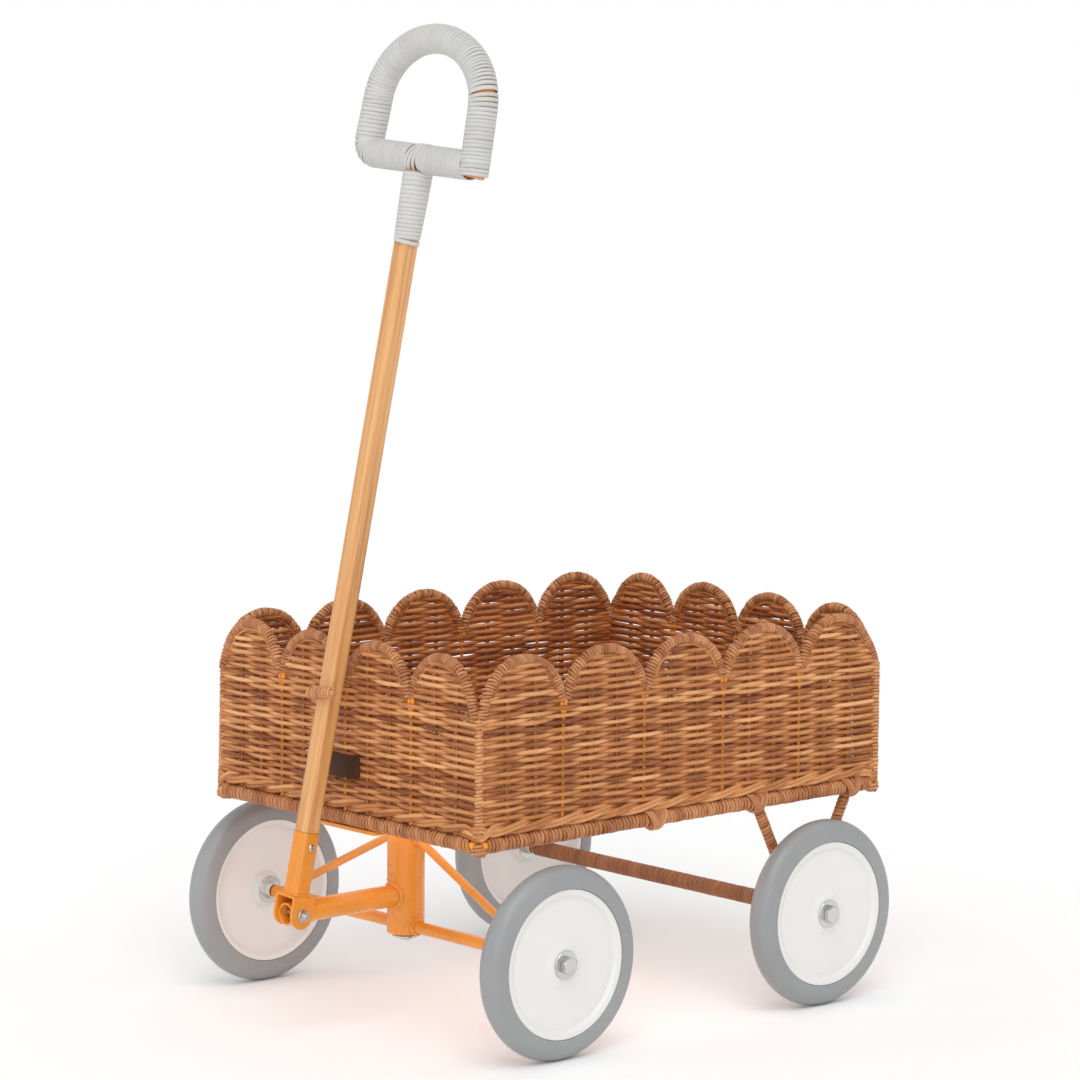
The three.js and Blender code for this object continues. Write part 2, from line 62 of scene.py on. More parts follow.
# Chassis.
FRONT_Y, REAR_Y, HUB_Z, TONGUE_Z = -200.0, 177.5, 100.0, 133.0
HEAD_R, AXLE_R, BRACE_R, TONGUE_R, AXLE_END = 19.7, 6.6, 4.5, 11.7, 218.4
WHEEL_X = 236.5

SIDE_VIEW = {
    "front": (0.0, -HALF_L, 0.0),
    "rear": (0.0, HALF_L, 180.0),
    "right": (HALF_W, 0.0, 90.0),
    "left": (-HALF_W, 0.0, -90.0),
}


def to_wall(points, wall):
    """Wall coordinates (along, inward, up) to millimetres about the basket."""
    x, y, turn = SIDE_VIEW[wall]
    c, s = math.cos(math.radians(turn)), math.sin(math.radians(turn))
    out = np.empty_like(points)
    out[..., 0] = c * points[..., 0] - s * points[..., 1] + x
    out[..., 1] = s * points[..., 0] + c * points[..., 1] + y
    out[..., 2] = points[..., 2]
    return out


def inward_of(wall):
    """The direction from a wall into the basket."""
    return to_wall(np.array([[0.0, 1.0, 0.0]]), wall)[0] - to_wall(np.zeros((1, 3)), wall)[0]


# ---------------- materials
def material(name):
    mat = bpy.data.materials.new(name)
    mat.use_nodes = True
    tree = mat.node_tree
    return mat, tree, tree.nodes["Principled BSDF"]


def add(tree, kind, **values):
    n = tree.nodes.new(kind)
    for key, value in values.items():
        if key in n.inputs:
            n.inputs[key].default_value = value
        else:
            setattr(n, key, value)
    return n


def math_node(tree, op, a, b=None, c=None):
    n = tree.nodes.new("ShaderNodeMath")
    n.operation = op
    for i, value in enumerate((a, b, c)):
        if value is None:
            continue
        if isinstance(value, (int, float)):
            n.inputs[i].default_value = value
        else:
            tree.links.new(value, n.inputs[i])
    return n.outputs[0]


def varied(tree, value, fac, amount):
    """value, raised and lowered by a noise about its middle."""
    return math_node(tree, "MULTIPLY_ADD", math_node(tree, "SUBTRACT", fac, 0.5), amount, value)


def mapped(tree, source, scale):
    n = tree.nodes.new("ShaderNodeMapping")
    n.inputs["Scale"].default_value = scale
    tree.links.new(source, n.inputs["Vector"])
    return n.outputs[0]


def noise(tree, vector, scale, detail=3.0, rough=0.55):
    n = add(tree, "ShaderNodeTexNoise", Scale=scale, Detail=detail, Roughness=rough)
    tree.links.new(vector, n.inputs["Vector"])
    return n.outputs["Fac"]


def ramp(tree, fac, stops):
    n = tree.nodes.new("ShaderNodeValToRGB")
    els = n.color_ramp.elements
    while len(els) < len(stops):
        els.new(0.5)
    for el, (pos, col) in zip(els, stops):
        el.position = pos
        el.color = (*col, 1.0)
    tree.links.new(fac, n.inputs[0])
    return n.outputs[0]


def span(tree, fac, low, high):
    n = add(tree, "ShaderNodeMapRange")
    n.inputs["To Min"].default_value = low
    n.inputs["To Max"].default_value = high
    tree.links.new(fac, n.inputs["Value"])
    return n.outputs[0]


def bump(tree, bsdf, height, strength, distance):
    n = add(tree, "ShaderNodeBump", Strength=strength, Distance=distance)
    tree.links.new(height, n.inputs["Height"])
    tree.links.new(n.outputs[0], bsdf.inputs["Normal"])


def strand_material(name, stops, inner, rough, fibre=0.3, relief=0.00025):
    """Reed or peel: tone changes from strand to strand, with fine fibres that run along it. Faces marked inner
    are multiplied by the inner colour, a painted shade for the inside of the basket.
    """
    mat, tree, bsdf = material(name)
    tone = add(tree, "ShaderNodeAttribute", attribute_name="tone").outputs["Fac"]
    side = add(tree, "ShaderNodeAttribute", attribute_name="inner").outputs["Fac"]
    lay = add(tree, "ShaderNodeAttribute", attribute_name="lay").outputs["Vector"]
    fine = noise(tree, mapped(tree, lay, (0.16, 7.0, 9.0)), 1.0, 4.0, 0.65)
    broad = noise(tree, mapped(tree, lay, (0.045, 0.6, 5.0)), 1.0, 2.0)
    value = varied(tree, varied(tree, tone, fine, fibre * 2.0), broad, 0.5)
    colour = ramp(tree, value, stops)
    # Painted shade: the inner attribute darkens and reddens the strands' inward faces by the inner colour.
    mix = add(tree, "ShaderNodeMix", data_type="RGBA", blend_type="MULTIPLY")
    tree.links.new(side, mix.inputs["Factor"])
    tree.links.new(colour, mix.inputs["A"])
    mix.inputs["B"].default_value = (*inner, 1.0)
    tree.links.new(mix.outputs["Result"], bsdf.inputs["Base Color"])
    tree.links.new(span(tree, fine, rough - 0.1, rough + 0.14), bsdf.inputs["Roughness"])
    bump(tree, bsdf, fine, 0.6, relief)
    bsdf.inputs["Specular IOR Level"].default_value = 0.42
    return mat


def speckled(name, colour, rough, scale, vary, depth, metal=0.0, coat=0.0, wide=25.0, shine=0.5):
    """A plain coating with a little cloudiness and a fine surface texture."""
    mat, tree, bsdf = material(name)
    place = add(tree, "ShaderNodeTexCoord").outputs["Object"]
    cloud = noise(tree, place, wide, 3.0)
    fine = noise(tree, place, scale, 2.0)
    dark = tuple(max(0.0, c * (1.0 - vary)) for c in colour)
    light = tuple(min(1.0, c * (1.0 + vary)) for c in colour)
    tree.links.new(ramp(tree, cloud, [(0.3, dark), (0.7, light)]), bsdf.inputs["Base Color"])
    mixed = math_node(tree, "MULTIPLY_ADD", cloud, 0.6, math_node(tree, "MULTIPLY", fine, 0.4))
    tree.links.new(span(tree, mixed, rough - 0.07, rough + 0.09), bsdf.inputs["Roughness"])
    bump(tree, bsdf, fine, 0.5, depth)
    bsdf.inputs["Specular IOR Level"].default_value = shine
    bsdf.inputs["Metallic"].default_value = metal
    bsdf.inputs["Coat Weight"].default_value = coat
    bsdf.inputs["Coat Roughness"].default_value = 0.12
    return mat


# Colours from the darkest to the palest strand.
REED_TONES = [
    (0.0, (0.195, 0.051, 0.012)),
    (0.35, (0.42, 0.146, 0.042)),
    (0.6, (0.58, 0.245, 0.086)),
    (1.0, (0.79, 0.415, 0.172)),
]
PEEL_TONES = [
    (0.0, (0.17, 0.048, 0.016)),
    (0.35, (0.35, 0.122, 0.041)),
    (0.6, (0.48, 0.195, 0.074)),
    (1.0, (0.68, 0.34, 0.145)),
]
AXLE_TONES = [(0.0, (0.11, 0.038, 0.014)), (0.5, (0.275, 0.103, 0.039)), (1.0, (0.47, 0.205, 0.08))]
TAPE_TONES = [(0.0, (0.43, 0.42, 0.40)), (0.5, (0.57, 0.565, 0.545)), (1.0, (0.69, 0.685, 0.66))]
# The third value of each strand material is its inner colour, a painted shade for strand faces inside the
# basket.
WEAVE = strand_material("woven_reed", REED_TONES, (0.93, 0.81, 0.72), 0.44)
PEEL = strand_material("wound_peel", PEEL_TONES, (0.85, 0.75, 0.7), 0.4)
AXLE_PEEL = strand_material("dark_peel", AXLE_TONES, (0.9, 0.9, 0.9), 0.45)
TAPE = strand_material("pale_peel", TAPE_TONES, (1.0, 1.0, 1.0), 0.5, 0.12, 0.0001)
PAINT = speckled("orange_enamel", (0.80, 0.280, 0.026), 0.27, 150.0, 0.08, 0.0005, 0.0, 0.35, shine=0.4)
# A brighter, more saturated copy of the orange enamel for the steel inside the basket: painted light that
# offsets the shade it sits in among the reeds.
HOOP_PAINT_BRIGHTENED = speckled("orange_hoops_brightened", (0.95, 0.36, 0.035), 0.4, 240.0, 0.07, 0.0001)
STEEL = speckled("plated_steel", (0.62, 0.62, 0.60), 0.2, 700.0, 0.10, 0.000012, 1.0)
WHITE = speckled("white_enamel", (0.775, 0.765, 0.745), 0.34, 300.0, 0.02, 0.00004, 0.0, 0.3, 9.0)
RUBBER = speckled("grey_rubber", (0.295, 0.303, 0.307), 0.34, 1600.0, 0.07, 0.00005, 0.0, 0.0, 12.0)
LEATHER = speckled("dark_leather", (0.062, 0.024, 0.011), 0.5, 1300.0, 0.25, 0.0002, shine=0.16)


def wood_material():
    """Pale wood whose grain runs along the first lay coordinate."""
    mat, tree, bsdf = material("pole_wood")
    lay = add(tree, "ShaderNodeAttribute", attribute_name="lay").outputs["Vector"]
    grain = noise(tree, mapped(tree, lay, (0.006, 0.35, 0.35)), 1.0, 5.0, 0.6)
    fine = noise(tree, mapped(tree, lay, (0.03, 2.2, 2.2)), 1.0, 3.0, 0.6)
    broad = noise(tree, mapped(tree, lay, (0.004, 0.09, 0.09)), 1.0, 2.0)
    value = varied(tree, varied(tree, grain, fine, 0.5), broad, 0.5)
    stops = [(0.14, (0.36, 0.135, 0.042)), (0.38, (0.60, 0.265, 0.088)), (0.55, (0.71, 0.36, 0.132)),
             (0.85, (0.80, 0.48, 0.21))]
    tree.links.new(ramp(tree, value, stops), bsdf.inputs["Base Color"])
    tree.links.new(span(tree, fine, 0.3, 0.48), bsdf.inputs["Roughness"])
    bump(tree, bsdf, value, 0.35, 0.0002)
    bsdf.inputs["Coat Weight"].default_value = 0.25
    bsdf.inputs["Coat Roughness"].default_value = 0.2
    return mat


WOOD = wood_material()


# ---------------- mesh code
AXES = {"X": (0, 1, 2), "Y": (1, 2, 0), "Z": (2, 0, 1)}


def oriented(along, a, b, centre, axis):
    """Points from an along coordinate and two across it, for an axis X, Y or Z through centre."""
    out = np.empty((*np.broadcast(along, a, b).shape, 3))
    for index, value in zip(AXES[axis], (along, a, b)):
        out[..., index] = value
    return out + np.asarray(centre, float)


def unit(vectors):
    return vectors / np.linalg.norm(vectors, axis=1)[:, None]


def across(way, vectors):
    """Unit vectors at right angles to way, each as near as can be to its own of vectors."""
    vectors = np.broadcast_to(np.asarray(vectors, float), way.shape)
    return unit(vectors - way * np.sum(vectors * way, axis=1)[:, None])


def distance_along(path):
    return np.concatenate([[0], np.cumsum(np.linalg.norm(np.diff(path, axis=0), axis=1))])


def straight(start, end, steps=40):
    start, end = np.array(start, float), np.array(end, float)
    return start + (end - start) * np.linspace(0, 1, steps)[:, None]


def turn_angles(count):
    return 2 * np.pi * np.arange(count) / count


def turned(along, r, angle, centre, axis):
    """Points at a distance r from the axis through centre."""
    return oriented(along, r * np.cos(angle), r * np.sin(angle), centre, axis)


def around(n, b, angle):
    """Directions at each angle round each point of a path, between its two cross directions."""
    return np.cos(angle)[None, :, None] * n[:, None] + np.sin(angle)[None, :, None] * b[:, None]


def ring_way(ring):
    return unit(np.roll(ring, -1, axis=0) - np.roll(ring, 1, axis=0))


def strip_section(crown=0.62):
    """Outline of a flat strip, as shares of its half width and of its thickness. crown is the flat share."""
    outline = [(1.0, 0.0), (crown, 0.46), (-crown, 0.46), (-1.0, 0.0), (-crown, -0.46), (crown, -0.46)]
    return np.array(outline).T


class Strands:
    """Gathers closed tubes and turned shapes into one mesh, with its tone, its inner side (which the strand
    material darkens as painted shade) and lay per vertex.
    """

    def __init__(self):
        self.points, self.quads, self.tris = [], [], []
        self.tone, self.inner, self.lay = [], [], []
        self.count = 0

    def grid(self, rings, tone=0.5, inner=0.0, lay=None, loop=False):
        """rings is (rings, sides, 3): a tube with closed ends, or one that runs back into itself."""
        k, m, _ = rings.shape
        index = self.count + np.arange(k * m).reshape(k, m)
        ahead = np.roll(index, -1, axis=1)
        a, b = (index, np.roll(index, -1, axis=0)) if loop else (index[:-1], index[1:])
        c, d = (ahead, np.roll(ahead, -1, axis=0)) if loop else (ahead[:-1], ahead[1:])
        quads = np.stack([a, c, d, b], -1).reshape(-1, 4)
        flat = rings.reshape(-1, 3)
        q = (flat - flat.mean(0))[quads - self.count]
        volume = np.sum(q[:, 0] * (np.cross(q[:, 1], q[:, 2]) + np.cross(q[:, 2], q[:, 3])))
        inside_out = volume < 0
        self.quads.append(quads[:, ::-1] if inside_out else quads)
        self.points.append(flat)
        ends = 0 if loop else 2
        if ends:
            self.points += [rings[0].mean(0)[None], rings[-1].mean(0)[None]]
            hub = self.count + k * m
            first = np.stack([index[0], np.full(m, hub), ahead[0]], -1)
            last = np.stack([index[-1], ahead[-1], np.full(m, hub + 1)], -1)
            self.tris += [first[:, ::-1], last[:, ::-1]] if inside_out else [first, last]
        for store, value in ((self.tone, tone), (self.inner, inner)):
            spread = np.broadcast_to(np.asarray(value, float), (k, m)).reshape(-1)
            store.append(np.concatenate([spread, np.full(ends, np.mean(value))]))
        lay = np.zeros((k, m, 3)) if lay is None else lay
        self.lay.append(np.concatenate([lay.reshape(-1, 3), np.zeros((ends, 3))]))
        self.count += k * m + ends

    def tube(self, path, radius, sides=8, up=(0, 0, 1), tone=0.5, inner=0.0, inward=None, lay0=0.0):
        """A round strand along a path. Where inward is given, it finds which side of the strand is inner, the
        side that its material darkens as painted shade.
        """
        t = unit(np.gradient(path, axis=0))
        b = across(t, up)
        angle = turn_angles(sides)
        r = np.broadcast_to(np.asarray(radius, float), (len(path),))[:, None, None]
        out = around(np.cross(b, t), b, angle)
        lay = np.zeros((len(path), sides, 3))
        lay[..., 0] = distance_along(path)[:, None] + lay0
        lay[..., 1] = np.abs(angle / np.pi - 1.0)[None]
        lay[..., 2] = lay0
        if inward is not None:
            inner = np.clip(0.5 + 0.7 * (out @ np.asarray(inward, float)), 0, 1)
        tone = np.broadcast_to(np.asarray(tone, float), (len(path),))[:, None]
        self.grid(path[:, None] + r * out, tone, inner, lay)

    def coil(self, path, normal, radius, pitch, width, thick, rng, tone=0.5, start=0.0, stop=None,
             per_turn=16, slant=0.0, wobble=0.15, hand=1.0, vary=0.14, crown=0.62):
        """A flat strip wound round a rod that follows path. radius is measured to the strip's middle."""
        length = distance_along(path)
        stop = length[-1] if stop is None else stop
        turns = max(2, int(round((stop - start) / pitch)))
        knots = np.arange(turns + 1)
        phase = np.linspace(0, turns, turns * per_turn + 1)

        def drift():
            return np.interp(phase, knots, rng.uniform(-1, 1, turns + 1))

        widths = 1.0 + 0.16 * rng.uniform(-1, 1, turns)
        marks = np.concatenate([[0], np.cumsum(widths)])
        marks = start + (stop - start) * marks / marks[-1]
        angle = hand * 2 * np.pi * phase
        s = np.interp(phase, knots, marks)
        s = np.clip(s + slant * drift() * np.cos(angle - 1.0), start, stop)

        def sampled(values):
            return np.stack([np.interp(s, length, values[:, i]) for i in range(3)], -1)

        ahead = unit(sampled(unit(np.gradient(path, axis=0))))
        n = across(ahead, normal)
        out = np.cos(angle)[:, None] * n + np.sin(angle)[:, None] * np.cross(ahead, n)
        r = (radius(s) if callable(radius) else radius) + wobble * drift()
        middle = sampled(path) + r[:, None] * out
        way = unit(np.gradient(middle, axis=0))
        out = across(way, out)
        flank = np.cross(out, way)
        half = np.interp(phase, knots[:-1] + 0.5, widths) * width / 2
        u, v = strip_section(crown)
        rings = middle[:, None] + (half[:, None] * u)[..., None] * flank[:, None]
        rings = rings + (v * thick)[None, :, None] * out[:, None]
        shade = tone + vary * drift()
        lay = np.zeros((len(phase), 6, 3))
        lay[..., 0] = (2 * np.pi * np.mean(r) * phase)[:, None]
        lay[..., 1] = (u * 0.5)[None]
        lay[..., 2] = rng.uniform(0, 50)
        self.grid(rings, shade[:, None], 0.0, lay)

    def lathe(self, profile, centre, axis="X", sides=96, flip=1.0):
        """A closed profile of (along, radius) points turned about an axis through centre."""
        along, r = np.asarray(profile, float).T
        self.grid(turned(along * flip, r, turn_angles(sides)[:, None], centre, axis), loop=True)

    def finish(self, name, mat, body, slot, *nodes, matrix=None, sharp=None):
        """Makes the mesh in metres in the row frame, on its body, and hides the nodes it replaces. slot is not
        used.
        """
        points = np.concatenate(self.points)
        if matrix is not None:
            m = np.array(matrix)
            points = points @ m[:3, :3].T + m[:3, 3]
        points = (points + ORIGIN) / 1000.0
        quads = np.concatenate(self.quads)
        tris = np.concatenate(self.tris) if self.tris else np.zeros((0, 3), int)
        mesh = bpy.data.meshes.new(name)
        mesh.vertices.add(len(points))
        mesh.vertices.foreach_set("co", points.astype(np.float32).reshape(-1))
        corners = np.concatenate([quads.reshape(-1), tris.reshape(-1)])
        mesh.loops.add(len(corners))
        mesh.loops.foreach_set("vertex_index", corners.astype(np.int32))
        sizes = np.concatenate([np.full(len(quads), 4), np.full(len(tris), 3)])
        starts = np.concatenate([[0], np.cumsum(sizes)[:-1]])
        mesh.polygons.add(len(sizes))
        mesh.polygons.foreach_set("loop_start", starts.astype(np.int32))
        mesh.polygons.foreach_set("loop_total", sizes.astype(np.int32))
        mesh.update(calc_edges=True)
        for key in ("tone", "inner"):
            layer = mesh.attributes.new(key, "FLOAT", "POINT")
            layer.data.foreach_set("value", np.concatenate(getattr(self, key)).astype(np.float32))
        layer = mesh.attributes.new("lay", "FLOAT_VECTOR", "POINT")
        layer.data.foreach_set("vector", np.concatenate(self.lay).astype(np.float32).reshape(-1))
        mesh.materials.append(mat)
        mesh.polygons.foreach_set("use_smooth", np.ones(len(mesh.polygons), bool))
        if sharp is not None:
            crease(mesh, math.radians(sharp))
        obj = bpy.data.objects.new(name, mesh)
        bpy.context.scene.collection.objects.link(obj)
        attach(obj, body)
        if nodes:
            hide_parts(*nodes)


def crease(mesh, limit):
    """Marks the edges that turn by more than limit as sharp."""
    bm = bmesh.new()
    bm.from_mesh(mesh)
    for edge in bm.edges:
        if len(edge.link_faces) == 2 and edge.calc_face_angle() > limit:
            edge.smooth = False
    bm.to_mesh(mesh)
    bm.free()


def loop_tube(mesh, ring, radius, tone, sides=6):
    """A closed ring of round strand. The radius may change along it."""
    t = ring_way(ring)
    out = across(t, ring - ring.mean(0))
    angle = turn_angles(sides)
    r = np.broadcast_to(radius, (len(ring),))[:, None, None]
    rings = ring[:, None] + r * around(np.cross(out, t), out, angle)
    lay = np.zeros((len(ring), sides, 3))
    lay[..., 0] = np.arange(len(ring))[:, None] * 2.0
    lay[..., 1] = np.abs(angle / np.pi - 1)[None]
    mesh.grid(rings, tone, 0.0, lay, loop=True)


def loop_strip(mesh, ring, width, thick, way, tone):
    """A closed flat band: width runs along way."""
    t = ring_way(ring)
    flank = across(t, way)
    out = np.cross(flank, t)
    section = strip_section()
    rings = np.stack([ring + flank * (width / 2 * u) + out * (thick * v) for u, v in section.T], 1)
    lay = np.zeros(rings.shape)
    lay[..., 0] = np.arange(len(ring))[:, None] * 2.5
    lay[..., 1] = section[0] * 0.5
    mesh.grid(rings, tone, 0.0, lay, loop=True)


# ---------------- the basket's walls
# Which ends of each wall, in its own direction, stand at a rear corner. The rear corners bulge a little.
REAR_ENDS = {"front": (False, False), "rear": (True, True), "right": (False, True), "left": (True, False)}
REAR_BULGE = 2.2


def wall_shape(wall):
    """Half length of a wall, the ends of its scallops, and its posts as (along, half width, sway, legs)."""
    half, count, inset = (HALF_W, 4, 9.8) if wall in ("front", "rear") else (HALF_L, 5, 6.0)
    pitch = 2 * half / count
    bays = []
    posts = []
    for i in range(count):
        left = -half + inset if i == 0 else -half + i * pitch + LEG_OFF
        right = half - inset if i == count - 1 else -half + (i + 1) * pitch - LEG_OFF
        bays.append((left, right))
        if i:
            posts.append((-half + i * pitch, 2.0, 3.75, True))
        for third in (1, 2):
            posts.append((-half + (i + third / 3) * pitch, 2.4, 3.2, False))
    return half, bays, posts


def weaver(stops, start=(), end=()):
    """The (along, inward) line of a weaver through stops of (along, half width, inward)."""
    line = list(start)
    for k, (a, w, i) in enumerate(stops):
        if k:
            pa, pw, pi = stops[k - 1]
            x0, x1 = pa + pw, a - w
            for f in (0.22, 0.41, 0.59, 0.78):
                ease = f * f * (3 - 2 * f)
                line.append((x0 + (x1 - x0) * f, pi * 0.93 + (i - pi) * 0.93 * ease))
        line += [(a - w, i * 0.93), (a, i), (a + w, i * 0.93)]
    return np.array(line + list(end))


def corner_turn(half, reach):
    """The bend out of a wall and halfway round its corner, on the outside, as (along, inward)."""
    bend = 6.5
    middle, depth = half + reach - bend, bend - reach
    angles = np.radians((0, 18, 36, 54))
    return [(middle + bend * math.sin(angle), depth - bend * math.cos(angle)) for angle in angles]


def weave_wall(wall, rng):
    half, bays, posts = wall_shape(wall)
    mesh = Strands()
    # Each strand knows which of its sides faces into the basket; its material darkens that side as painted
    # shade.
    inward = inward_of(wall)

    def strand(points, radius, tone, **shape):
        mesh.tube(to_wall(points, wall), radius, tone=tone, inward=inward, lay0=rng.uniform(0, 90), **shape)

    def reed(line, z, tone, hold):
        """A reed along line at height z. Its height and thickness wander, less where hold is below 1."""
        pts = np.empty((len(line), 3))
        pts[:, :2] = line
        knots = np.linspace(0, 1, max(4, len(line) // 7))
        along = np.linspace(0, 1, len(line))
        drift, thick, shade = (np.interp(along, knots, rng.normal(0, spread, len(knots)))
                               for spread in (0.27, 0.075, 0.13))
        pts[:, 2] = z + drift * hold(along)
        strand(pts, REED * (1 + thick * hold(along)), tone + shade)

    def still_at_ends(along):
        return np.clip(np.minimum(along, 1 - along) * 18, 0, 1)

    rows = int((VALLEY - FIRST_ROW) / ROW) + 1
    for j in range(rows):
        stops = []
        for k, (a, w, sway, _) in enumerate(posts):
            sign = -1 if (k + j) % 2 else 1
            stops.append((a, w, sign * sway * (1 + 0.05 * rng.uniform(-1, 1))))
        near, far = (1.3 if j % 2 else -1.3), (1.3 if (len(posts) + j) % 2 else -1.3)
        first, last = (half + (REAR_BULGE if rear else -0.5 - 1.6 * j / rows) for rear in REAR_ENDS[wall])
        line = weaver(stops, [(-first, near), (3 - first, near)], [(last - 3, far), (last, far)])
        pale = 0.3 * (rng.uniform() < 0.09)
        reed(line, FIRST_ROW + j * ROW, 0.5 + pale + 0.17 * rng.normal(), still_at_ends)
    for left, right in bays:
        mid, wide = (left + right) / 2, (right - left) / 2
        first, last = FIRST_ROW + rows * ROW, SPRING + RISE - 6.6
        for j, z in enumerate(np.linspace(first, last, round((last - first) / ROW) + 1), rows):
            reach = wide * math.sqrt(1 - ((z - SPRING) / RISE) ** 2)
            stops = [(mid - reach, 0.8, 1.2 if j % 2 else -1.2)]
            for k, (a, w, sway, legs) in enumerate(posts):
                if not legs and abs(a - mid) < reach - 7:
                    stops.append((a, w, (-1 if (k + j) % 2 else 1) * sway))
            stops.append((mid + reach, 0.8, -1.2 if len(stops) % 2 == j % 2 else 1.2))
            bow = 1.2 * max(0.0, (z - SPRING) / RISE - 0.5)
            reed(weaver(stops), z + bow, 0.5 + 0.17 * rng.normal(), np.ones_like)
        angle = np.radians(np.linspace(158, 22, 34))
        for side in (-1.9, 1.9):
            a, z = mid + (wide - 6.3) * np.cos(angle), SPRING + (RISE - 6.3) * np.sin(angle)
            arch = np.stack([a, np.full(34, side), z], -1) + rng.normal(0, 0.18, (34, 3))
            strand(arch, 1.6, 0.4 + 0.12 * rng.normal())
    for a, _, _, legs in posts:
        if legs:
            continue
        left, right = next(bay for bay in bays if bay[0] < a < bay[1])
        mid, wide = (left + right) / 2, (right - left) / 2
        for off in (-1.55, 1.55):
            top = SPRING + RISE * math.sqrt(1 - ((a + off - mid) / wide) ** 2) - 2.5
            z = np.linspace(227, top, 14)
            pts = np.stack([a + off + rng.normal(0, 0.25, 14), rng.normal(0, 0.2, 14), z], -1)
            strand(pts, 1.5, 0.42 + 0.1 * rng.normal(), sides=6, up=inward)
    # The bottom rows: three pairs of long strands that twist past each other round the posts.
    for k in range(3):
        for pair in (-1.85, 1.85):
            a = np.linspace(-half - 1.5, half + 1.5, int(2 * half / 6))
            turn = 2 * np.pi * (a + half) * len(bays) / (2 * half) + 2 * np.pi * k / 3
            hold = np.clip((half - np.abs(a)) / 18, 0, 1)
            hold = hold * hold * (3 - 2 * hold)
            z = 237.7 + 1.7 * hold + pair + 3.5 * np.sin(turn) * hold + (k - 1) * 3.9 * (1 - hold)
            i = -4.7 * np.cos(turn) * hold - 2.9 * (1 - hold)
            ends = corner_turn(half, 2.9)
            head = [(-out, back, z[0]) for out, back in ends[::-1]]
            tail = [(out, back, z[-1]) for out, back in ends]
            middle = np.stack([a, i, z], -1)[np.abs(a) < half - 3.5]
            strand(np.concatenate([head, middle, tail]), REED * 1.02, 0.55 + 0.14 * rng.normal())
    mesh.finish(f"weave_{wall}", WEAVE, "basket", "woven_rattan", f"woven_wall_{wall}")


def hoop_path(wall, i, steps, keep):
    """Arch i of a wall, up one leg and down the other, in wall coordinates. A leg in the middle of the wall
    moves over to its neighbour below the arch, and a leg at a corner leans into the corner. keep holds the
    lowest height of the first and of the second kind."""
    half, bays, _ = wall_shape(wall)
    left, right = bays[i]
    mid, wide = (left + right) / 2, (right - left) / 2
    angle = np.linspace(np.pi, 0, steps)
    arch = np.stack([mid + wide * np.cos(angle), np.zeros(steps), SPRING + RISE * np.sin(angle)], -1)
    legs = np.concatenate([np.linspace(RAIL_Z, LEG_FOOT - 4, 4), np.linspace(LEG_FOOT, LEG_TOP, 4)])
    up = np.stack([np.full(8, left), np.zeros(8), legs], -1)
    down = np.stack([np.full(8, right), np.zeros(8), legs[::-1]], -1)
    path = np.concatenate([up, arch, down])
    pitch = 2 * half / len(bays)
    lowest = np.zeros(len(path))
    for side, edge, post, away in ((path[:, 0] < mid, left, i, 0.3), (path[:, 0] >= mid, right, i + 1, -0.3)):
        corner = post in (0, len(bays))
        rear = corner and REAR_ENDS[wall][post > 0]
        foot = math.copysign(half + (2.8 if rear else -2.4), edge) if corner else -half + post * pitch + away
        top = (388.0 if rear else 372.0) if corner else LEG_TOP
        t = np.clip((top - path[:, 2]) / (top - LEG_FOOT), 0, 1)
        path[side, 0] += ((foot - edge) * t * t * (3 - 2 * t))[side]
        lowest[side] = keep[corner]
    return path[path[:, 2] > lowest]


def wind_rim(wall, rng):
    mesh = Strands()
    for i in range(len(wall_shape(wall)[1])):
        path = to_wall(hoop_path(wall, i, 60, (360.4, 352.0)), wall)
        mesh.coil(path, inward_of(wall), 4.15, 3.5, 3.3, 2.5, rng, tone=0.58, wobble=0.46, slant=1.3,
                  per_turn=14, vary=0.3, hand=-1.0 if rng.uniform() < 0.5 else 1.0)
    mesh.finish(f"rim_binding_{wall}", PEEL, "basket", "wrapping_rattan", f"rim_wrap_{wall}")


def wind_rail(wall, rng):
    """The base ring's winding, thicker on the long sides where the bar and the struts are lashed to it."""
    half, _, _ = wall_shape(wall)
    mesh = Strands()
    reach = half - 8.5
    places = []
    if wall in ("right", "left"):
        sign = 1 if wall == "right" else -1
        places = [(sign * -43, 9, 2.0), (sign * 104, 10, 1.6), (sign * 246, 10, 1.6)]

    def thick(s):
        r = np.full(len(s), 6.9)
        for at, spread, rise in places:
            r += rise * np.exp(-(((s - reach - at) / spread) ** 4))
        return r

    path = to_wall(straight((-reach, 0, RAIL_Z), (reach, 0, RAIL_Z), 60), wall)
    mesh.coil(path, inward_of(wall), thick, 4.6, 4.2, 2.4, rng, tone=0.56, slant=2.2, wobble=0.45, vary=0.25,
              crown=0.5)
    angle = turn_angles(28)
    for at, _, rise in places:
        for tilt in (-1, 1):
            for n in range(3):
                r = 9.0 + rise * 0.4 + 0.25 * n
                a = at + tilt * (5.5 * np.cos(angle) + 1.6 + n * 3.3)
                ring = np.stack([a, r * np.sin(angle), RAIL_Z - 0.8 + r * np.cos(angle)], -1)
                loop_tube(mesh, to_wall(ring, wall), 1.75, 0.66 + 0.12 * rng.normal())
    mesh.finish(f"rail_binding_{wall}", PEEL, "basket", "wrapping_rattan", f"rail_wrap_{wall}")


rng = np.random.default_rng(7)
for wall in SIDE_VIEW:
    weave_wall(wall, rng)
    wind_rim(wall, rng)
    wind_rail(wall, rng)


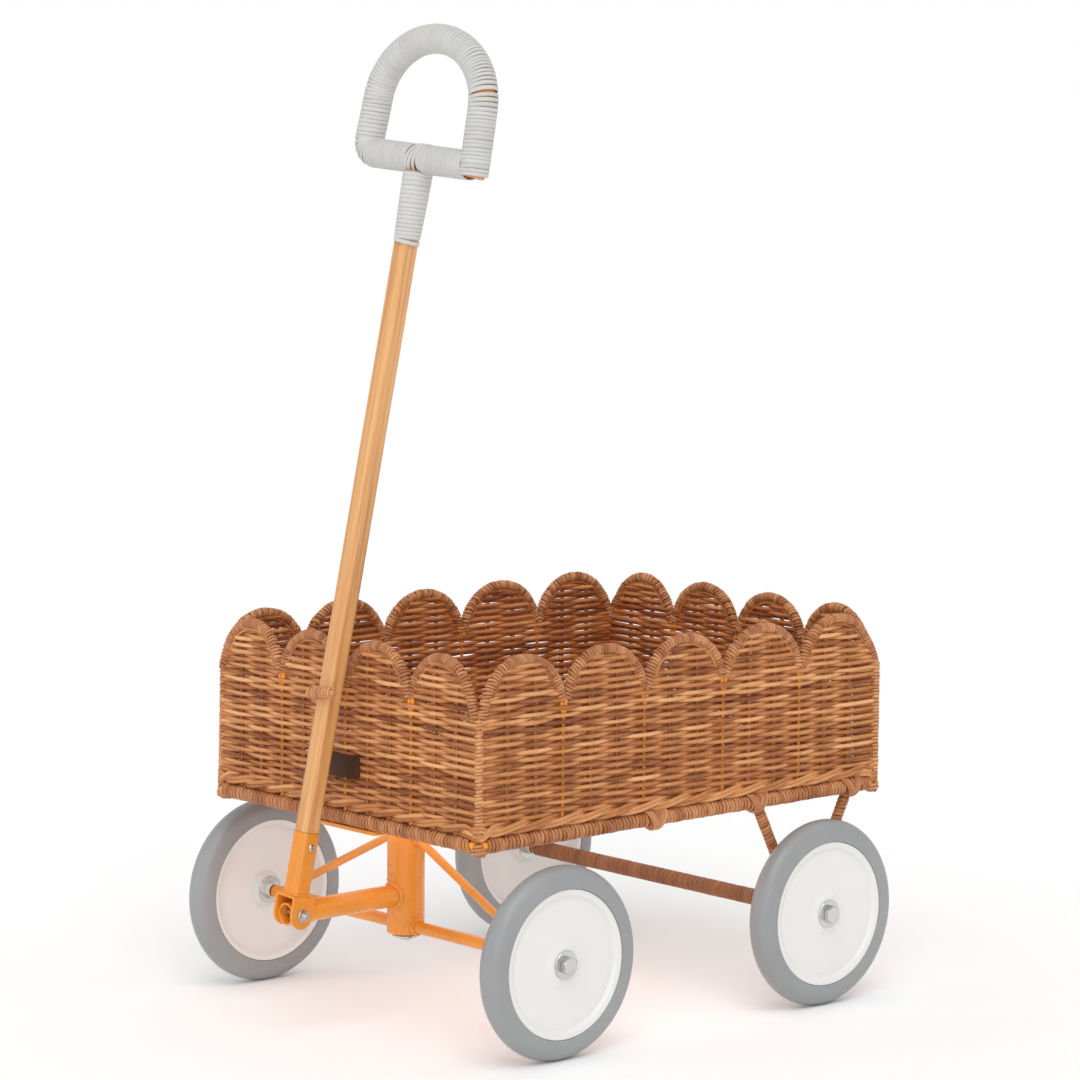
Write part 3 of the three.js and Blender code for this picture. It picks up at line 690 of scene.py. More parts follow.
def weave_floor(rng):
    mesh = Strands()
    half_x, half_y, middle_z = 200.0, 274.0, 227.0
    posts = np.linspace(-half_x + 12, half_x - 12, 13)
    # The floor's rows and stakes all get inner 0.35: painted shade that makes the floor inside the basket a
    # little darker and redder.
    for j, y in enumerate(np.linspace(2 - half_y, half_y - 2, int(2 * half_y / 3.9) + 1)):
        stops = [(a, 1.8, (1 if (k + j) % 2 else -1) * 2.1) for k, a in enumerate(posts)]
        line = weaver(stops, [(-half_x, 0)], [(half_x, 0)])
        pts = np.stack([line[:, 0], y + rng.normal(0, 0.12, len(line)), middle_z + line[:, 1]], -1)
        tone = 0.46 + 0.15 * rng.normal()
        mesh.tube(pts, 1.85, 6, up=(0, 1, 0), tone=tone, inner=0.35, lay0=rng.uniform(0, 90))
    for a in posts:
        for off in (-1.5, 1.5):
            y = np.linspace(-half_y, half_y, 24)
            pts = np.stack([a + off + rng.normal(0, 0.2, 24), y, np.full(24, middle_z)], -1)
            mesh.tube(pts, 1.4, 6, tone=0.4, inner=0.35, lay0=rng.uniform(0, 90))
    mesh.finish("floor_weave", WEAVE, "basket", "woven_rattan", "woven_floor")


weave_floor(rng)


# ---------------- the steel inside the basket
def corner_line(x, y, low, high, count):
    """The post at a corner. In front it leans inwards a little towards its top."""
    z = np.linspace(low, high, count)
    lean = np.full(count, 1.5) if y > 0 else -1.0 - 1.5 * np.clip((z - FIRST_ROW) / 110, 0, 1)
    return np.stack([x * (HALF_W + lean), y * (HALF_L + lean * (1.9 if y > 0 else 1.0)), z], -1)


def steel_frame():
    mesh = Strands()
    for wall in SIDE_VIEW:
        for i in range(len(wall_shape(wall)[1])):
            path = hoop_path(wall, i, 26, (0.0, 351.0))
            radius = np.interp(path[:, 2], [LEG_FOOT, LEG_TOP], [1.7, LEG_R])
            mesh.tube(to_wall(path, wall), radius, 10, up=inward_of(wall))
    for x in (-1, 1):
        for y in (-1, 1):
            mesh.tube(corner_line(x, y, RAIL_Z, 354.5, 8), 2.6, 12)
    for x in (-HALF_W, HALF_W):
        mesh.tube(straight((x, 3.0 - HALF_L, RAIL_Z), (x, HALF_L, RAIL_Z), 3), RAIL_R, 16)
    for y, end in ((-HALF_L, HALF_W - 3.0), (HALF_L, HALF_W)):
        mesh.tube(straight((-end, y, RAIL_Z), (end, y, RAIL_Z), 3), RAIL_R, 16)
    for y, end, r in ((-118, HALF_W - 2, 3.6), (-43, HALF_W + 6, 5.0), (56, HALF_W - 2, 3.6)):
        mesh.tube(straight((-end, y, 223.0 - r), (end, y, 223.0 - r), 3), r, 20)
    # The steel inside the basket takes the brightened enamel, painted light against the shade of the weave.
    mesh.finish("steel_hoops", HOOP_PAINT_BRIGHTENED, "basket", "frame_paint", "basket_frame", sharp=50)


steel_frame()


def corner_lashings(rng):
    """A strip wound up each corner, where the rows of two walls end, and the knob at its foot."""
    mesh = Strands()
    sideways = (1, 0, 0)
    for x in (-1, 1):
        for y in (-1, 1):
            path = corner_line(x, y, 233.0, 357.0 if y > 0 else 352.0, 26)
            mesh.coil(path, sideways, 3.7, 3.75, 3.6, 2.0, rng, tone=0.86, wobble=0.3, slant=0.3, per_turn=12,
                      vary=0.2, crown=0.5)
            inset = 0.5 if y > 0 else 3.0
            foot_x, foot_y = x * (HALF_W - inset), y * (HALF_L - inset)
            path = straight((foot_x, foot_y, 213.8), (foot_x, foot_y, 227.3), 12)
            z = np.linspace(0.0, 13.5, 12)
            swell = 4.2 + 4.2 * np.sin(np.pi * z / 13.5) ** 0.7
            mesh.coil(path, sideways, lambda at: np.interp(at, z, swell), 3.3, 3.3, 1.8, rng, tone=0.66,
                      wobble=0.2, slant=0.5, per_turn=24, start=1.3, stop=12.2)
            mesh.tube(path, swell - 0.7, 20, up=(0, 1, 0), tone=0.5)
            # At the front right corner the paint shows between the knob and the winding.
            if (x, y) != (1, -1):
                path = straight((foot_x, foot_y, 225), (foot_x, foot_y, 235), 8)
                mesh.coil(path, sideways, 6.8, 3.4, 3.4, 2.4, rng, tone=0.6, wobble=0.2, slant=0.5,
                          per_turn=20)
    mesh.finish("corner_lashings", PEEL, "basket", "wrapping_rattan")


corner_lashings(rng)


# ---------------- shared metal shapes
def rounded(points, steps):
    """A smooth closed outline through the given ones, as a Catmull-Rom curve."""
    p = np.asarray(points, float)
    before, after, beyond = np.roll(p, 1, 0), np.roll(p, -1, 0), np.roll(p, -2, 0)
    bend = 2 * before - 5 * p + 4 * after - beyond
    twist = 3 * p - before - 3 * after + beyond
    shares = np.arange(steps) / steps
    out = [0.5 * (2 * p + (after - before) * t + bend * t * t + twist * t ** 3) for t in shares]
    return np.stack(out, 1).reshape(-1, 2)


def ring_profile(a0, a1, r0, r1, edge=0.4):
    """The section of a washer or sleeve, with small chamfers."""
    return [(a0, r0 + edge), (a0 + edge, r0), (a1 - edge, r0), (a1, r0 + edge),
            (a1, r1 - edge), (a1 - edge, r1), (a0 + edge, r1), (a0, r1 - edge)]


def hexagonal(mesh, flats, base, top, centre, axis="X", turn=0.0):
    """A bolt head or nut from base to top along the axis, its outer corners turned down to a cone."""
    angle = turn_angles(72) + turn
    hexagon = flats / 2 / np.cos((angle - turn) % (np.pi / 3) - np.pi / 6)
    way = 1.0 if top > base else -1.0
    height = abs(top - base)
    depths = [height, height - 0.3, 1.3, 0.95, 0.65, 0.4, 0.2, 0.06, 0.0, 0.0]
    limits = [flats * 0.56, flats] + [flats * 0.475 + d * 1.73 for d in depths[2:-1]] + [flats * 0.44]
    rings = [turned(top - way * depth, np.minimum(hexagon, limit), angle, centre, axis)
             for depth, limit in zip(depths, limits)]
    mesh.grid(np.stack(rings))


def stub(mesh, radius, base, top, centre, axis="X", chamfer=0.7):
    """A round shank end with a chamfer at its top."""
    way = 1.0 if top > base else -1.0
    outline = [(base, radius), (top - way * chamfer, radius), (top, radius - chamfer), (top, radius * 0.4)]
    mesh.grid(np.stack([turned(along, r, turn_angles(32), centre, axis) for along, r in outline]))


def bead(mesh, ring, radius, rng):
    """A lumpy weld bead that lies along a closed ring."""
    n = len(ring)
    lumps = 1.0 + 0.22 * np.abs(np.sin(np.arange(n) * np.pi * round(n / 5) / n)) + 0.10 * rng.normal(size=n)
    loop_tube(mesh, ring, radius * lumps, 0.5, 8)


def seam(start, way, radius, post_radius):
    """Where a tube from start along way leaves an upright tube at the front axle."""
    way = np.asarray(way, float) / np.linalg.norm(way)
    side = np.cross(way, (0.0, 0.0, 1.0))
    side /= np.linalg.norm(side)
    top = np.cross(side, way)
    ring = []
    for phi in turn_angles(40):
        q = np.asarray(start, float) + radius * (math.cos(phi) * side + math.sin(phi) * top)
        x, y = q[0], q[1] - FRONT_Y
        a, b, c = way[0] ** 2 + way[1] ** 2, x * way[0] + y * way[1], x * x + y * y - post_radius ** 2
        ring.append(q + way * (-b + math.sqrt(max(0.0, b * b - a * c))) / a)
    return np.array(ring)


# ---------------- wheels
SIDES = (("right", 1), ("left", -1))


def tyre_section():
    crown = [(14.0 * math.cos(t), 85.6 + 14.4 * math.sin(t)) for t in np.linspace(0, np.pi / 2, 9)]
    outer = [(13.3, 77.35), (13.85, 77.7), (14.0, 78.4), (14.05, 82.0)] + crown
    inner = [(-a, r) for a, r in outer[-2::-1]]
    return outer + inner


DISC_SECTION = rounded([
    (12.2, 5.7), (12.3, 10.0), (12.2, 17.0), (11.5, 20.5), (10.3, 24.5), (10.0, 34.0), (9.9, 50.0),
    (9.7, 63.0), (9.2, 66.6), (9.6, 68.6), (11.5, 70.6), (12.3, 73.0), (12.5, 75.6), (11.7, 77.1),
    (0.0, 77.2), (-11.6, 77.1), (-12.2, 75.8), (-11.6, 72.6), (-6.0, 70.0), (0.5, 66.5), (1.6, 58.0),
    (1.6, 24.0), (-1.0, 19.0), (-6.8, 16.0), (-7.5, 13.0), (-7.5, 7.0), (-7.3, 5.6), (0.0, 5.6)], 3)


def wheel(place, y, side, sign, rng):
    """A tyre on its disc, with the washer, bolt and nut that hold them to the axle."""
    name, centre = f"{place}_{side}", (sign * WHEEL_X, y, HUB_Z)
    body, carrier = f"wheel_{name}", "steering" if place == "front" else "basket"
    tyre = Strands()
    tyre.lathe(tyre_section(), centre, "X", 128, sign)
    tyre.finish(f"rubber_{name}", RUBBER, body, "tyre_rubber", f"tyre_{name}", sharp=40)
    disc = Strands()
    disc.lathe(DISC_SECTION, centre, "X", 112, sign)
    disc.finish(f"disc_{name}", WHITE, body, "wheel_paint", f"wheel_disc_{name}")
    washer = Strands()
    washer.lathe(ring_profile(12.4, 14.3, 5.4, 15.0, 0.35), centre, "X", 64, sign)
    washer.finish(f"washer_{name}", STEEL, carrier, "plated_steel", f"wheel_washer_{name}", sharp=30)
    bolt = Strands()
    hexagonal(bolt, 17.0, sign * 14.6, sign * 21.0, centre, "X", rng.uniform(0, 1.0))
    stub(bolt, 4.9, sign * 14.0, sign * -20.5, centre)
    bolt.finish(f"bolt_{name}", STEEL, carrier, "plated_steel", f"wheel_bolt_{name}", sharp=24)
    nut = Strands()
    nut.lathe(ring_profile(-9.8, -7.9, 5.1, 15.0, 0.35), centre, "X", 64, sign)
    hexagonal(nut, 17.0, sign * -9.9, sign * -17.2, centre, "X", rng.uniform(0, 1.0))
    nut.finish(f"nut_{name}", STEEL, carrier, "plated_steel", f"axle_nut_{name}", sharp=24)


for place, y in (("front", FRONT_Y), ("rear", REAR_Y)):
    for side, sign in SIDES:
        wheel(place, y, side, sign, rng)


# ---------------- steering and axles
def steering(rng):
    head = Strands()
    head.lathe(ring_profile(92.0, 211.6, 6.5, HEAD_R, 0.7), (0, FRONT_Y, 0), "Z", 96)
    skin = HEAD_R + 0.4
    bead(head, seam((0.0, FRONT_Y, TONGUE_Z), (0, -1, 0), TONGUE_R + 0.6, skin), 2.3, rng)
    for sign in (1, -1):
        bead(head, seam((0.0, FRONT_Y, HUB_Z), (sign, 0, 0), AXLE_R + 0.6, skin), 2.0, rng)
        brace_foot, brace_way = (sign * 10, FRONT_Y, 198.5), (sign * 193, 0, -96.5)
        bead(head, seam(brace_foot, brace_way, BRACE_R + 0.5, skin), 1.8, rng)
    # Weld spatter: half of it lies round the tongue's weld, the rest anywhere.
    for k in range(34):
        turn, z = rng.uniform(0, 2 * np.pi), rng.uniform(96, 205)
        if k < 18:
            turn, z = -np.pi / 2 + rng.normal(0, 0.42), TONGUE_Z + rng.normal(0, 30)
        drop = rng.uniform(0.5, 1.25)
        out = np.array([math.cos(turn), math.sin(turn), 0.0])
        steps = (HEAD_R + drop * np.array([-0.6, -0.2, 0.25, 0.55, 0.7]))[:, None] * out
        path = np.array([0.0, FRONT_Y, min(max(z, 96.0), 207.0)]) + steps
        head.tube(path, drop * np.array([1.5, 1.45, 1.2, 0.7, 0.15]), 8)
    head.finish("head_tube", PAINT, "steering", "frame_paint", "steering_head_tube", sharp=40)
    tongue = Strands()
    tongue.lathe(ring_profile(-361.0, FRONT_Y - 17.0, 9.7, TONGUE_R, 0.35), (0, 0, TONGUE_Z), "Y", 64)
    tongue.finish("tongue", PAINT, "steering", "frame_paint", "tongue_tube", sharp=40)
    for side, sign in SIDES:
        tube = Strands()
        tube.lathe(ring_profile(17.0, AXLE_END, 5.0, AXLE_R, 0.3), (0, FRONT_Y, HUB_Z), "X", 40, sign)
        tube.finish(f"front_axle_{side}", PAINT, "steering", "frame_paint", f"axle_tube_front_{side}",
                    sharp=40)
        brace = Strands()
        path = straight((sign * 12, FRONT_Y, 197.5), (sign * 203, FRONT_Y, 103.6), 24)
        brace.tube(path, np.linspace(BRACE_R, BRACE_R * 0.96, 24), 24, up=(0, 1, 0))
        phi = turn_angles(32)
        c, s = np.cos(phi), np.sin(phi)
        foot = [sign * (194 + 11 * c), FRONT_Y + 4.6 * s, HUB_Z + 6.2 - 1.6 * c - 2.0 * s ** 2]
        bead(brace, np.stack(foot, -1), 1.3, rng)
        brace.finish(f"brace_{side}", PAINT, "steering", "frame_paint", f"axle_brace_{side}", sharp=50)


steering(rng)


def steering_plate():
    """The plate under the basket, with rounded corners and edges, and the kingpin with its nut."""
    mesh = Strands()
    half_x, y0, y1, z0, z1 = 50.0, -286.0, -121.9, 212.0, 216.2
    outline = []
    corners = [(half_x - 4, y1 - 4), (4 - half_x, y1 - 4), (4 - half_x, y0 + 4), (half_x - 4, y0 + 4)]
    for k, (x, y) in enumerate(corners):
        for t in np.radians(90 * k + np.array([0, 30, 60, 90])):
            outline.append((x + 4 * math.cos(t), y + 4 * math.sin(t)))
    outline = np.array(outline)
    middle = outline.mean(0)
    rings = []
    lower, upper = [(z0, 0.8), (z0 + 0.5, 0.2), (z0 + 1.0, 0.0)], [(z1 - 1.0, 0.0), (z1 - 0.5, 0.2), (z1, 0.8)]
    for z, inset in lower + upper:
        scale = 1 - inset / np.linalg.norm(outline - middle, axis=1)[:, None]
        flat = middle + (outline - middle) * scale
        rings.append(np.column_stack([flat, np.full(len(flat), z)]))
    mesh.grid(np.stack(rings))
    mesh.finish("steering_plate_painted", PAINT, "basket", "frame_paint", "steering_plate", sharp=40)
    centre = (0, FRONT_Y, 0)
    pin = Strands()
    hexagonal(pin, 19.0, 216.4, 222.6, centre, "Z", 0.3)
    stub(pin, 5.9, 217.0, 84.0, centre, "Z")
    pin.finish("kingpin", STEEL, "basket", "plated_steel", "kingpin_bolt", sharp=24)
    nut = Strands()
    nut.lathe(ring_profile(87.4, 90.4, 6.1, 14.0, 0.9), centre, "Z", 64)
    hexagonal(nut, 16.0, 87.6, 85.6, centre, "Z", 0.2)
    nut.finish("kingpin_lock_nut", STEEL, "basket", "plated_steel", "kingpin_nut", sharp=24)


steering_plate()


def rear_axle(rng):
    tube = Strands()
    tube.lathe(ring_profile(-AXLE_END, AXLE_END, 5.0, AXLE_R, 0.3), (0, REAR_Y, HUB_Z), "X", 40)
    tube.finish("rear_axle", PAINT, "basket", "frame_paint", "rear_axle_tube", sharp=40)
    wrap = Strands()
    path = straight((-214, REAR_Y, HUB_Z), (214, REAR_Y, HUB_Z))
    wrap.coil(path, (0, 0, 1), 8.0, 4.3, 4.6, 1.7, rng, tone=0.5, wobble=0.18, slant=0.4)
    wrap.finish("rear_axle_winding", AXLE_PEEL, "basket", "axle_rattan", "rear_axle_wrap")
    for side, sign in SIDES:
        for place, way in (("front", -1), ("rear", 1)):
            strut = Strands()
            path = straight((sign * 207, REAR_Y + way * 67, 217.5), (sign * 207, REAR_Y + way * 10.5, 108.0))
            # The strut under its winding is a darker peel: painted shade in the gaps between turns.
            strut.tube(path[1:-1], 4.2, 10, up=(1, 0, 0), tone=0.25)
            strut.coil(path, (1, 0, 0), 5.05, 4.3, 4.3, 2.1, rng, tone=0.55, wobble=0.28, slant=0.9,
                       vary=0.22)
            strut.finish(f"strut_winding_{side}_{place}", PEEL, "basket", "wrapping_rattan",
                         f"rear_strut_{side}_{place}")


rear_axle(rng)


# ---------------- the hook and the tag on the front wall
def hook(rng):
    """A rod out of the front wall that bends round in front of the parked pole and rises to its tip."""
    bend = [(2 - 8 * math.cos(t), -320 - 8 * math.sin(t)) for t in np.linspace(0, np.pi / 2, 7)]
    stem, arm = [(-6.0, y) for y in (-284.0, -300.0, -312.0)], [(x, -328.0) for x in (12.0, 24.0, 35.0)]
    flat = np.array(stem + bend + arm)
    run = distance_along(flat)
    path = np.column_stack([flat, 352.0 + 11.0 * run / run[-1]])
    mesh = Strands()
    tip = path[-1] + np.array([[0.6, 0, 0.1], [1.3, 0, 0.2], [1.6, 0, 0.25]])
    radius = np.concatenate([np.full(len(path), 3.3), [3.0, 2.0, 0.5]])
    mesh.tube(np.concatenate([path, tip]), radius, 16, tone=0.8)
    mesh.coil(path, (0, 0, 1), lambda s: 4.0 + 0.8 * np.clip(1 - s / 26, 0, 1), 4.4, 3.9, 3.4, rng, tone=0.66,
              wobble=0.3, vary=0.3, crown=0.3)
    mesh.finish("keeper_hook", PEEL, "basket", "wrapping_rattan", "handle_hook")


hook(rng)


def tag():
    """A plain leather patch with rounded corners, bent back a little at its ends."""
    mesh = Strands()
    half, high, corner = 28.5, 12.0, 3.5
    flat = half - corner
    xs = np.concatenate([np.linspace(-half, -flat, 6)[:-1], np.linspace(-flat, flat, 20),
                         np.linspace(flat, half, 6)[1:]])
    angle = turn_angles(32)
    c, s = np.cos(angle), np.sin(angle)
    rings = []
    for x in xs:
        beyond = max(0.0, abs(x) - flat)
        tall = high - corner + math.sqrt(max(0.05, corner ** 2 - beyond ** 2))
        thin = 1.0 if beyond < corner * 0.98 else 0.6
        z = tall * np.sign(c) * np.abs(c) ** 0.12
        y = thin * np.sign(s) * np.abs(s) ** 0.5
        bend = 4.6 * (abs(x) / half) ** 2.6 + 0.4 * math.sin(x * 0.13)
        rings.append(np.stack([np.full(32, x), -291.4 + bend + y, 280 + z], -1))
    mesh.grid(np.stack(rings))
    mesh.finish("leather_patch", LEATHER, "basket", "tag_leather", "leather_tag", sharp=60)


tag()


# ---------------- the handle, drawn upright on its pivot
PIVOT = Matrix.Translation((0, -351, TONGUE_Z))
SIDE_TILT, LEAN = math.radians(2.8), math.radians(-9.93)
HANDLE = PIVOT @ Matrix.Rotation(SIDE_TILT, 4, "Y") @ Matrix.Rotation(LEAN, 4, "X")
POLE_HALF, SLEEVE_TOP = 10.2, 84.4
BAR_Z, GRIP_HALF, GRIP_FOOT, SHOULDER_Z, GRIP_TOP = 780.5, 81.5, 84.0, 835.0, 903.6


def rounded_square(half, radius):
    flat = half - radius
    out = []
    for k, (x, y) in enumerate(((flat, flat), (-flat, flat), (-flat, -flat), (flat, -flat))):
        for t in np.linspace(k * np.pi / 2, (k + 1) * np.pi / 2, 6):
            out.append((x + radius * math.cos(t), y + radius * math.sin(t)))
    return np.array(out)


def clevis(rng):
    """A strap bent into two ears and a bridge, the sleeve welded on it, and the bolt and nut of the pivot."""
    mesh = Strands()
    line = [(13.7, z) for z in (-14.4, -14.0, -13.0, -11.5, -9.0, -6.0, -3.0, 0.0, 7.0, 14.7)]
    line += [(10.5 + 3.2 * math.cos(t), 14.7 + 3.2 * math.sin(t)) for t in np.linspace(0.3, np.pi / 2, 5)]
    line += [(0.0, 17.9)] + [(-x, z) for x, z in line[::-1]]
    rings = []
    for (x, z), (tx, tz) in zip(line, unit(np.gradient(np.array(line), axis=0))):
        wide = 14.5 if z > 0 else math.sqrt(14.5 ** 2 - z ** 2)
        edge = min(0.5, wide / 3)
        section = [(1.5, wide - edge), (1.5 - edge, wide), (edge - 1.5, wide), (-1.5, wide - edge),
                   (-1.5, edge - wide), (edge - 1.5, -wide), (1.5 - edge, -wide), (1.5, edge - wide)]
        rings.append([(x + tz * a, y, z - tx * a) for a, y in section])
    mesh.grid(np.array(rings))
    outer, inner = rounded_square(10.9, 5.6), rounded_square(9.6, 4.4)
    rim = SLEEVE_TOP - 0.6
    sleeve = [(inner, 18.0), (outer, 18.0), (outer, rim), (outer * 0.97, SLEEVE_TOP),
              (inner * 1.03, SLEEVE_TOP), (inner, rim)]
    mesh.grid(np.stack([np.column_stack([s, np.full(len(s), z)]) for s, z in sleeve]), loop=True)
    weld = rounded_square(11.4, 6.0)
    bead(mesh, np.column_stack([weld, np.full(len(weld), 19.9)]), 1.2, rng)
    mesh.finish("clevis", PAINT, "handle", "frame_paint", "handle_clevis", matrix=HANDLE, sharp=38)
    bolt = Strands()
    hexagonal(bolt, 10.0, -15.5, -19.5, (0, 0, 0), "X", 0.2)
    stub(bolt, 3.0, -16.0, 22.0, (0, 0, 0), "X", 0.4)
    bolt.finish("pivot_bolt", STEEL, "handle", "plated_steel", "clevis_bolt", matrix=HANDLE, sharp=24)
    nut = Strands()
    nut.lathe(ring_profile(15.5, 16.8, 3.2, 6.6, 0.25), (0, 0, 0), "X", 48)
    hexagonal(nut, 10.0, 16.8, 20.9, (0, 0, 0), "X", 0.5)
    nut.finish("pivot_nut", STEEL, "handle", "plated_steel", "clevis_nut", matrix=HANDLE, sharp=24)


clevis(rng)


def cross_screw():
    """A pan-head screw with a cross recess, on the sleeve's right side."""
    mesh = Strands()
    angle = turn_angles(64)
    shank = [(-8.0, 1.7), (0.1, 1.7)]
    head = [(0.1, 3.3), (0.5, 3.75), (1.1, 3.7), (1.7, 3.2), (2.0, 2.6), (2.15, 2.2), (2.2, 2.0), (2.22, 1.7),
            (2.24, 1.4), (2.25, 1.1), (2.25, 0.8), (2.25, 0.5)]
    rings = []
    for depth, r in shank + head:
        y, z = r * np.cos(angle), r * np.sin(angle)
        recess = (np.minimum(np.abs(y), np.abs(z)) < 0.48) & (r < 2.1)
        rings.append(np.stack([10.9 + depth - 1.1 * recess, y, 70 + z], -1))
    mesh.grid(np.stack(rings))
    mesh.finish("cross_screw", STEEL, "handle", "plated_steel", "sleeve_screw", matrix=HANDLE, sharp=35)


cross_screw()


def pole(rng):
    """A square pole with rounded edges. Its foot is turned down to go into the sleeve."""
    mesh = Strands()
    z = np.concatenate([[60.0, 83.6, 84.3, 84.7, 85.2], np.linspace(86, 768, 60)])
    half = np.where(z < 84.5, 9.3, POLE_HALF)
    half[3] = 9.9
    drift = np.interp(z, np.linspace(60, 768, 9), rng.normal(0, 0.12, 9))
    rings = []
    for zi, h, d in zip(z, half, drift):
        outline = rounded_square(h, 5.2 * h / POLE_HALF) * (1 + 0.01 * d)
        rings.append(np.column_stack([outline + d, np.full(len(outline), zi)]))
    rings = np.stack(rings)
    mesh.grid(rings, lay=rings[..., [2, 0, 1]])
    mesh.finish("pole", WOOD, "handle", "pole_wood", "wooden_pole", matrix=HANDLE, sharp=60)


pole(rng)


def grip_line():
    """From the foot of the right leg over the arch, down the left leg and back along the bar."""
    leg = [(GRIP_FOOT, 765.2), (GRIP_FOOT, 773.0), (GRIP_FOOT, BAR_Z), (83.2, 798.0), (82.3, 817.0)]
    arch = [(GRIP_HALF * math.cos(t), SHOULDER_Z + (GRIP_TOP - SHOULDER_Z) * math.sin(t))
            for t in np.linspace(0, np.pi, 37)]
    bend = 14.0
    turn = [(-GRIP_FOOT + bend - bend * math.cos(t), BAR_Z + bend - bend * math.sin(t))
            for t in np.linspace(0, np.pi / 2, 8)]
    bar = [(x, BAR_Z) for x in np.arange(-60, 85, 6)]
    return np.array([(x, 0.0, z) for x, z in leg + arch + [(-82.3, 817.0)] + turn + bar])


def grip(rng):
    """The bent rod and its winding, which parts a little at the top of the right leg."""
    line = grip_line()
    front = (0, 1, 0)
    core = Strands()
    core.tube(np.concatenate([[(GRIP_FOOT, 0.0, 769.0)], line[1:]]), 12.2, 28, up=front)
    core.tube(straight((0, 0, 719), (0, 0, BAR_Z), 6), 5.0, 12, up=front)
    core.finish("grip_rod", PAINT, "handle", "frame_paint", "grip_core", matrix=HANDLE, sharp=50)
    wrap = Strands()
    at = distance_along(line)
    bar_end = at[-1]
    neck_at = bar_end - GRIP_FOOT
    gap = 86.0
    # The darker tape under the winding is painted shade for the grooves between its turns.
    for first, last in ((7.5, gap - 1.5), (gap + 3.0, neck_at - 3.0), (neck_at + 4.0, bar_end - 9.0)):
        wrap.tube(line[(at > first) & (at < last)], 13.3, 28, up=front, tone=0.15)
    windings = [
        (4.4, gap, 14.5, 0.3, 0.5),
        (gap + 1.4, neck_at - 7.5, 14.5, 0.25, 0.52),
        (neck_at + 8.5, bar_end - 7.0, 14.4, 0.25, 0.5),
    ]
    for first, last, r, slant, tone in windings:
        wrap.coil(line, front, r, 4.1, 4.15, 1.6, rng, tone=tone, start=first, stop=last, wobble=0.06,
                  slant=slant, per_turn=28, vary=0.08, crown=0.86)
    phi = turn_angles(48)
    c, s = np.cos(phi), np.sin(phi)
    for shift, lean in ((-4.6, 5.0), (0.8, 5.6), (6.3, 4.2)):
        ring = np.stack([shift + lean * s, 15.1 * c, BAR_Z + 15.1 * s], -1)
        loop_strip(wrap, ring, 5.0, 1.6, (1, 0, 0), 0.5 + 0.05 * rng.normal())
    wrap.finish("grip_binding", TAPE, "handle", "handle_binding", "grip_wrap", matrix=HANDLE)
    neck = Strands()
    path = straight((0, 0, 697.5), (0, 0, 766), 30)
    # A darker layer under the winding: painted shade in the grooves between its turns.
    neck.tube(path, 12.2 + 1.7 * np.linspace(0, 1, 30) ** 0.8, 28, up=front, tone=0.2)
    neck.coil(path, front, lambda d: 12.6 + 1.9 * np.clip(d / 62, 0, 1) ** 0.8, 4.3, 4.35, 1.5, rng,
              tone=0.54, wobble=0.05, slant=0.3, per_turn=36, vary=0.06, crown=0.88)
    loop_strip(neck, np.stack([12.75 * c, 12.75 * s, 695.9 - 1.7 * c], -1), 4.4, 1.5, (0, 0, 1), 0.56)
    neck.finish("neck_binding", TAPE, "handle", "handle_binding", "neck_wrap", matrix=HANDLE)


grip(rng)


# ---------------- camera, light and ground
CAMERA_PLACE = (3.46206, -3.137, 1.09542)
AZIMUTH, ELEVATION, ROLL = 0.837, 0.129, 0.008
level = math.cos(ELEVATION)
forward = Vector((-math.sin(AZIMUTH) * level, math.cos(AZIMUTH) * level, -math.sin(ELEVATION)))
right = Vector((math.cos(AZIMUTH), math.sin(AZIMUTH), 0.0))
up = right.cross(forward)
right, up = math.cos(ROLL) * right + math.sin(ROLL) * up, math.cos(ROLL) * up - math.sin(ROLL) * right
camera = bpy.data.objects.new("camera", bpy.data.cameras.new("camera"))
camera.data.sensor_width = 36.0
camera.data.lens = 147.3367
camera.data.clip_end = 400.0
turn = Matrix((right, up, -forward)).transposed().to_4x4()
camera.matrix_world = Matrix.Translation(Vector(CAMERA_PLACE) + Vector(ORIGIN) / 1000) @ turn
bpy.context.scene.collection.objects.link(camera)
bpy.context.scene.camera = camera

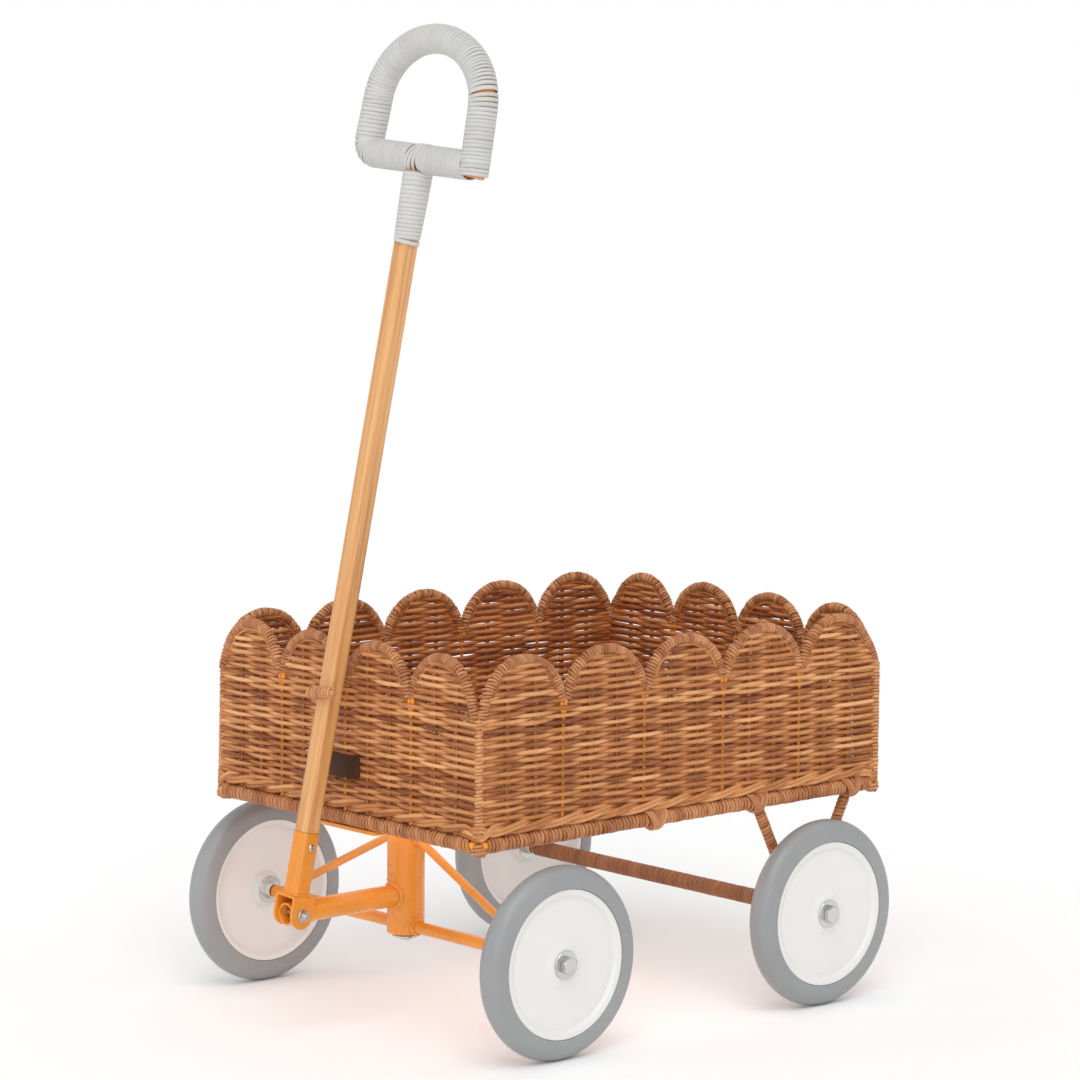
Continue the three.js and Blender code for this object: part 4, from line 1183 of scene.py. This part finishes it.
ground_mesh = bpy.data.meshes.new("ground")
ground_mesh.from_pydata([(-200, -200, 0), (200, -200, 0), (200, 200, 0), (-200, 200, 0)], [], [(0, 1, 2, 3)])
ground = bpy.data.objects.new("ground", ground_mesh)
ground_material, tree, bsdf = material("ground")
bsdf.inputs["Base Color"].default_value = (0.985, 0.985, 0.985, 1)
bsdf.inputs["Roughness"].default_value = 0.9
bsdf.inputs["Specular IOR Level"].default_value = 0.1
ground_mesh.materials.append(ground_material)
bpy.context.scene.collection.objects.link(ground)

# The sky is a little brighter overhead than at the horizon.
world = bpy.data.worlds.new("studio")
world.use_nodes = True
sky = world.node_tree
direction = add(sky, "ShaderNodeTexCoord").outputs["Generated"]
height = add(sky, "ShaderNodeSeparateXYZ")
sky.links.new(direction, height.inputs[0])
glow = span(sky, height.outputs["Z"], 0.60, 0.84)
sky.nodes["Background"].inputs["Color"].default_value = (1, 1, 1, 1)
sky.links.new(glow, sky.nodes["Background"].inputs["Strength"])
bpy.context.scene.world = world


def sun(name, towards, strength, angle):
    """Sunlight from the direction towards, as soft as its angle in degrees is wide."""
    lamp = bpy.data.lights.new(name, "SUN")
    lamp.energy = strength
    lamp.angle = math.radians(angle)
    obj = bpy.data.objects.new(name, lamp)
    obj.rotation_euler = Vector(towards).to_track_quat("Z", "Y").to_euler()
    bpy.context.scene.collection.objects.link(obj)


def soft_box(name, place, aim, size, power):
    """A rectangular lamp that the camera does not see."""
    lamp = bpy.data.lights.new(name, "AREA")
    lamp.shape = "RECTANGLE"
    lamp.size, lamp.size_y = size
    lamp.energy = power
    obj = bpy.data.objects.new(name, lamp)
    obj.location = place
    obj.rotation_euler = (Vector(place) - Vector(aim)).to_track_quat("Z", "Y").to_euler()
    obj.visible_camera = False
    bpy.context.scene.collection.objects.link(obj)


sun("key", (0.42, -0.34, 0.84), 0.85, 40)
sun("fill", (0.76, -0.58, 0.20), 0.6, 50)
soft_box("front_box", (-0.9, -2.6, 0.55), (0.0, 0.0, 0.25), (0.3, 1.5), 6.2)
soft_box("under_box", (0.0, 0.04, 0.204), (0.0, 0.04, 0.0), (0.36, 0.50), 0.5)
bpy.context.scene.view_settings.view_transform = "Standard"
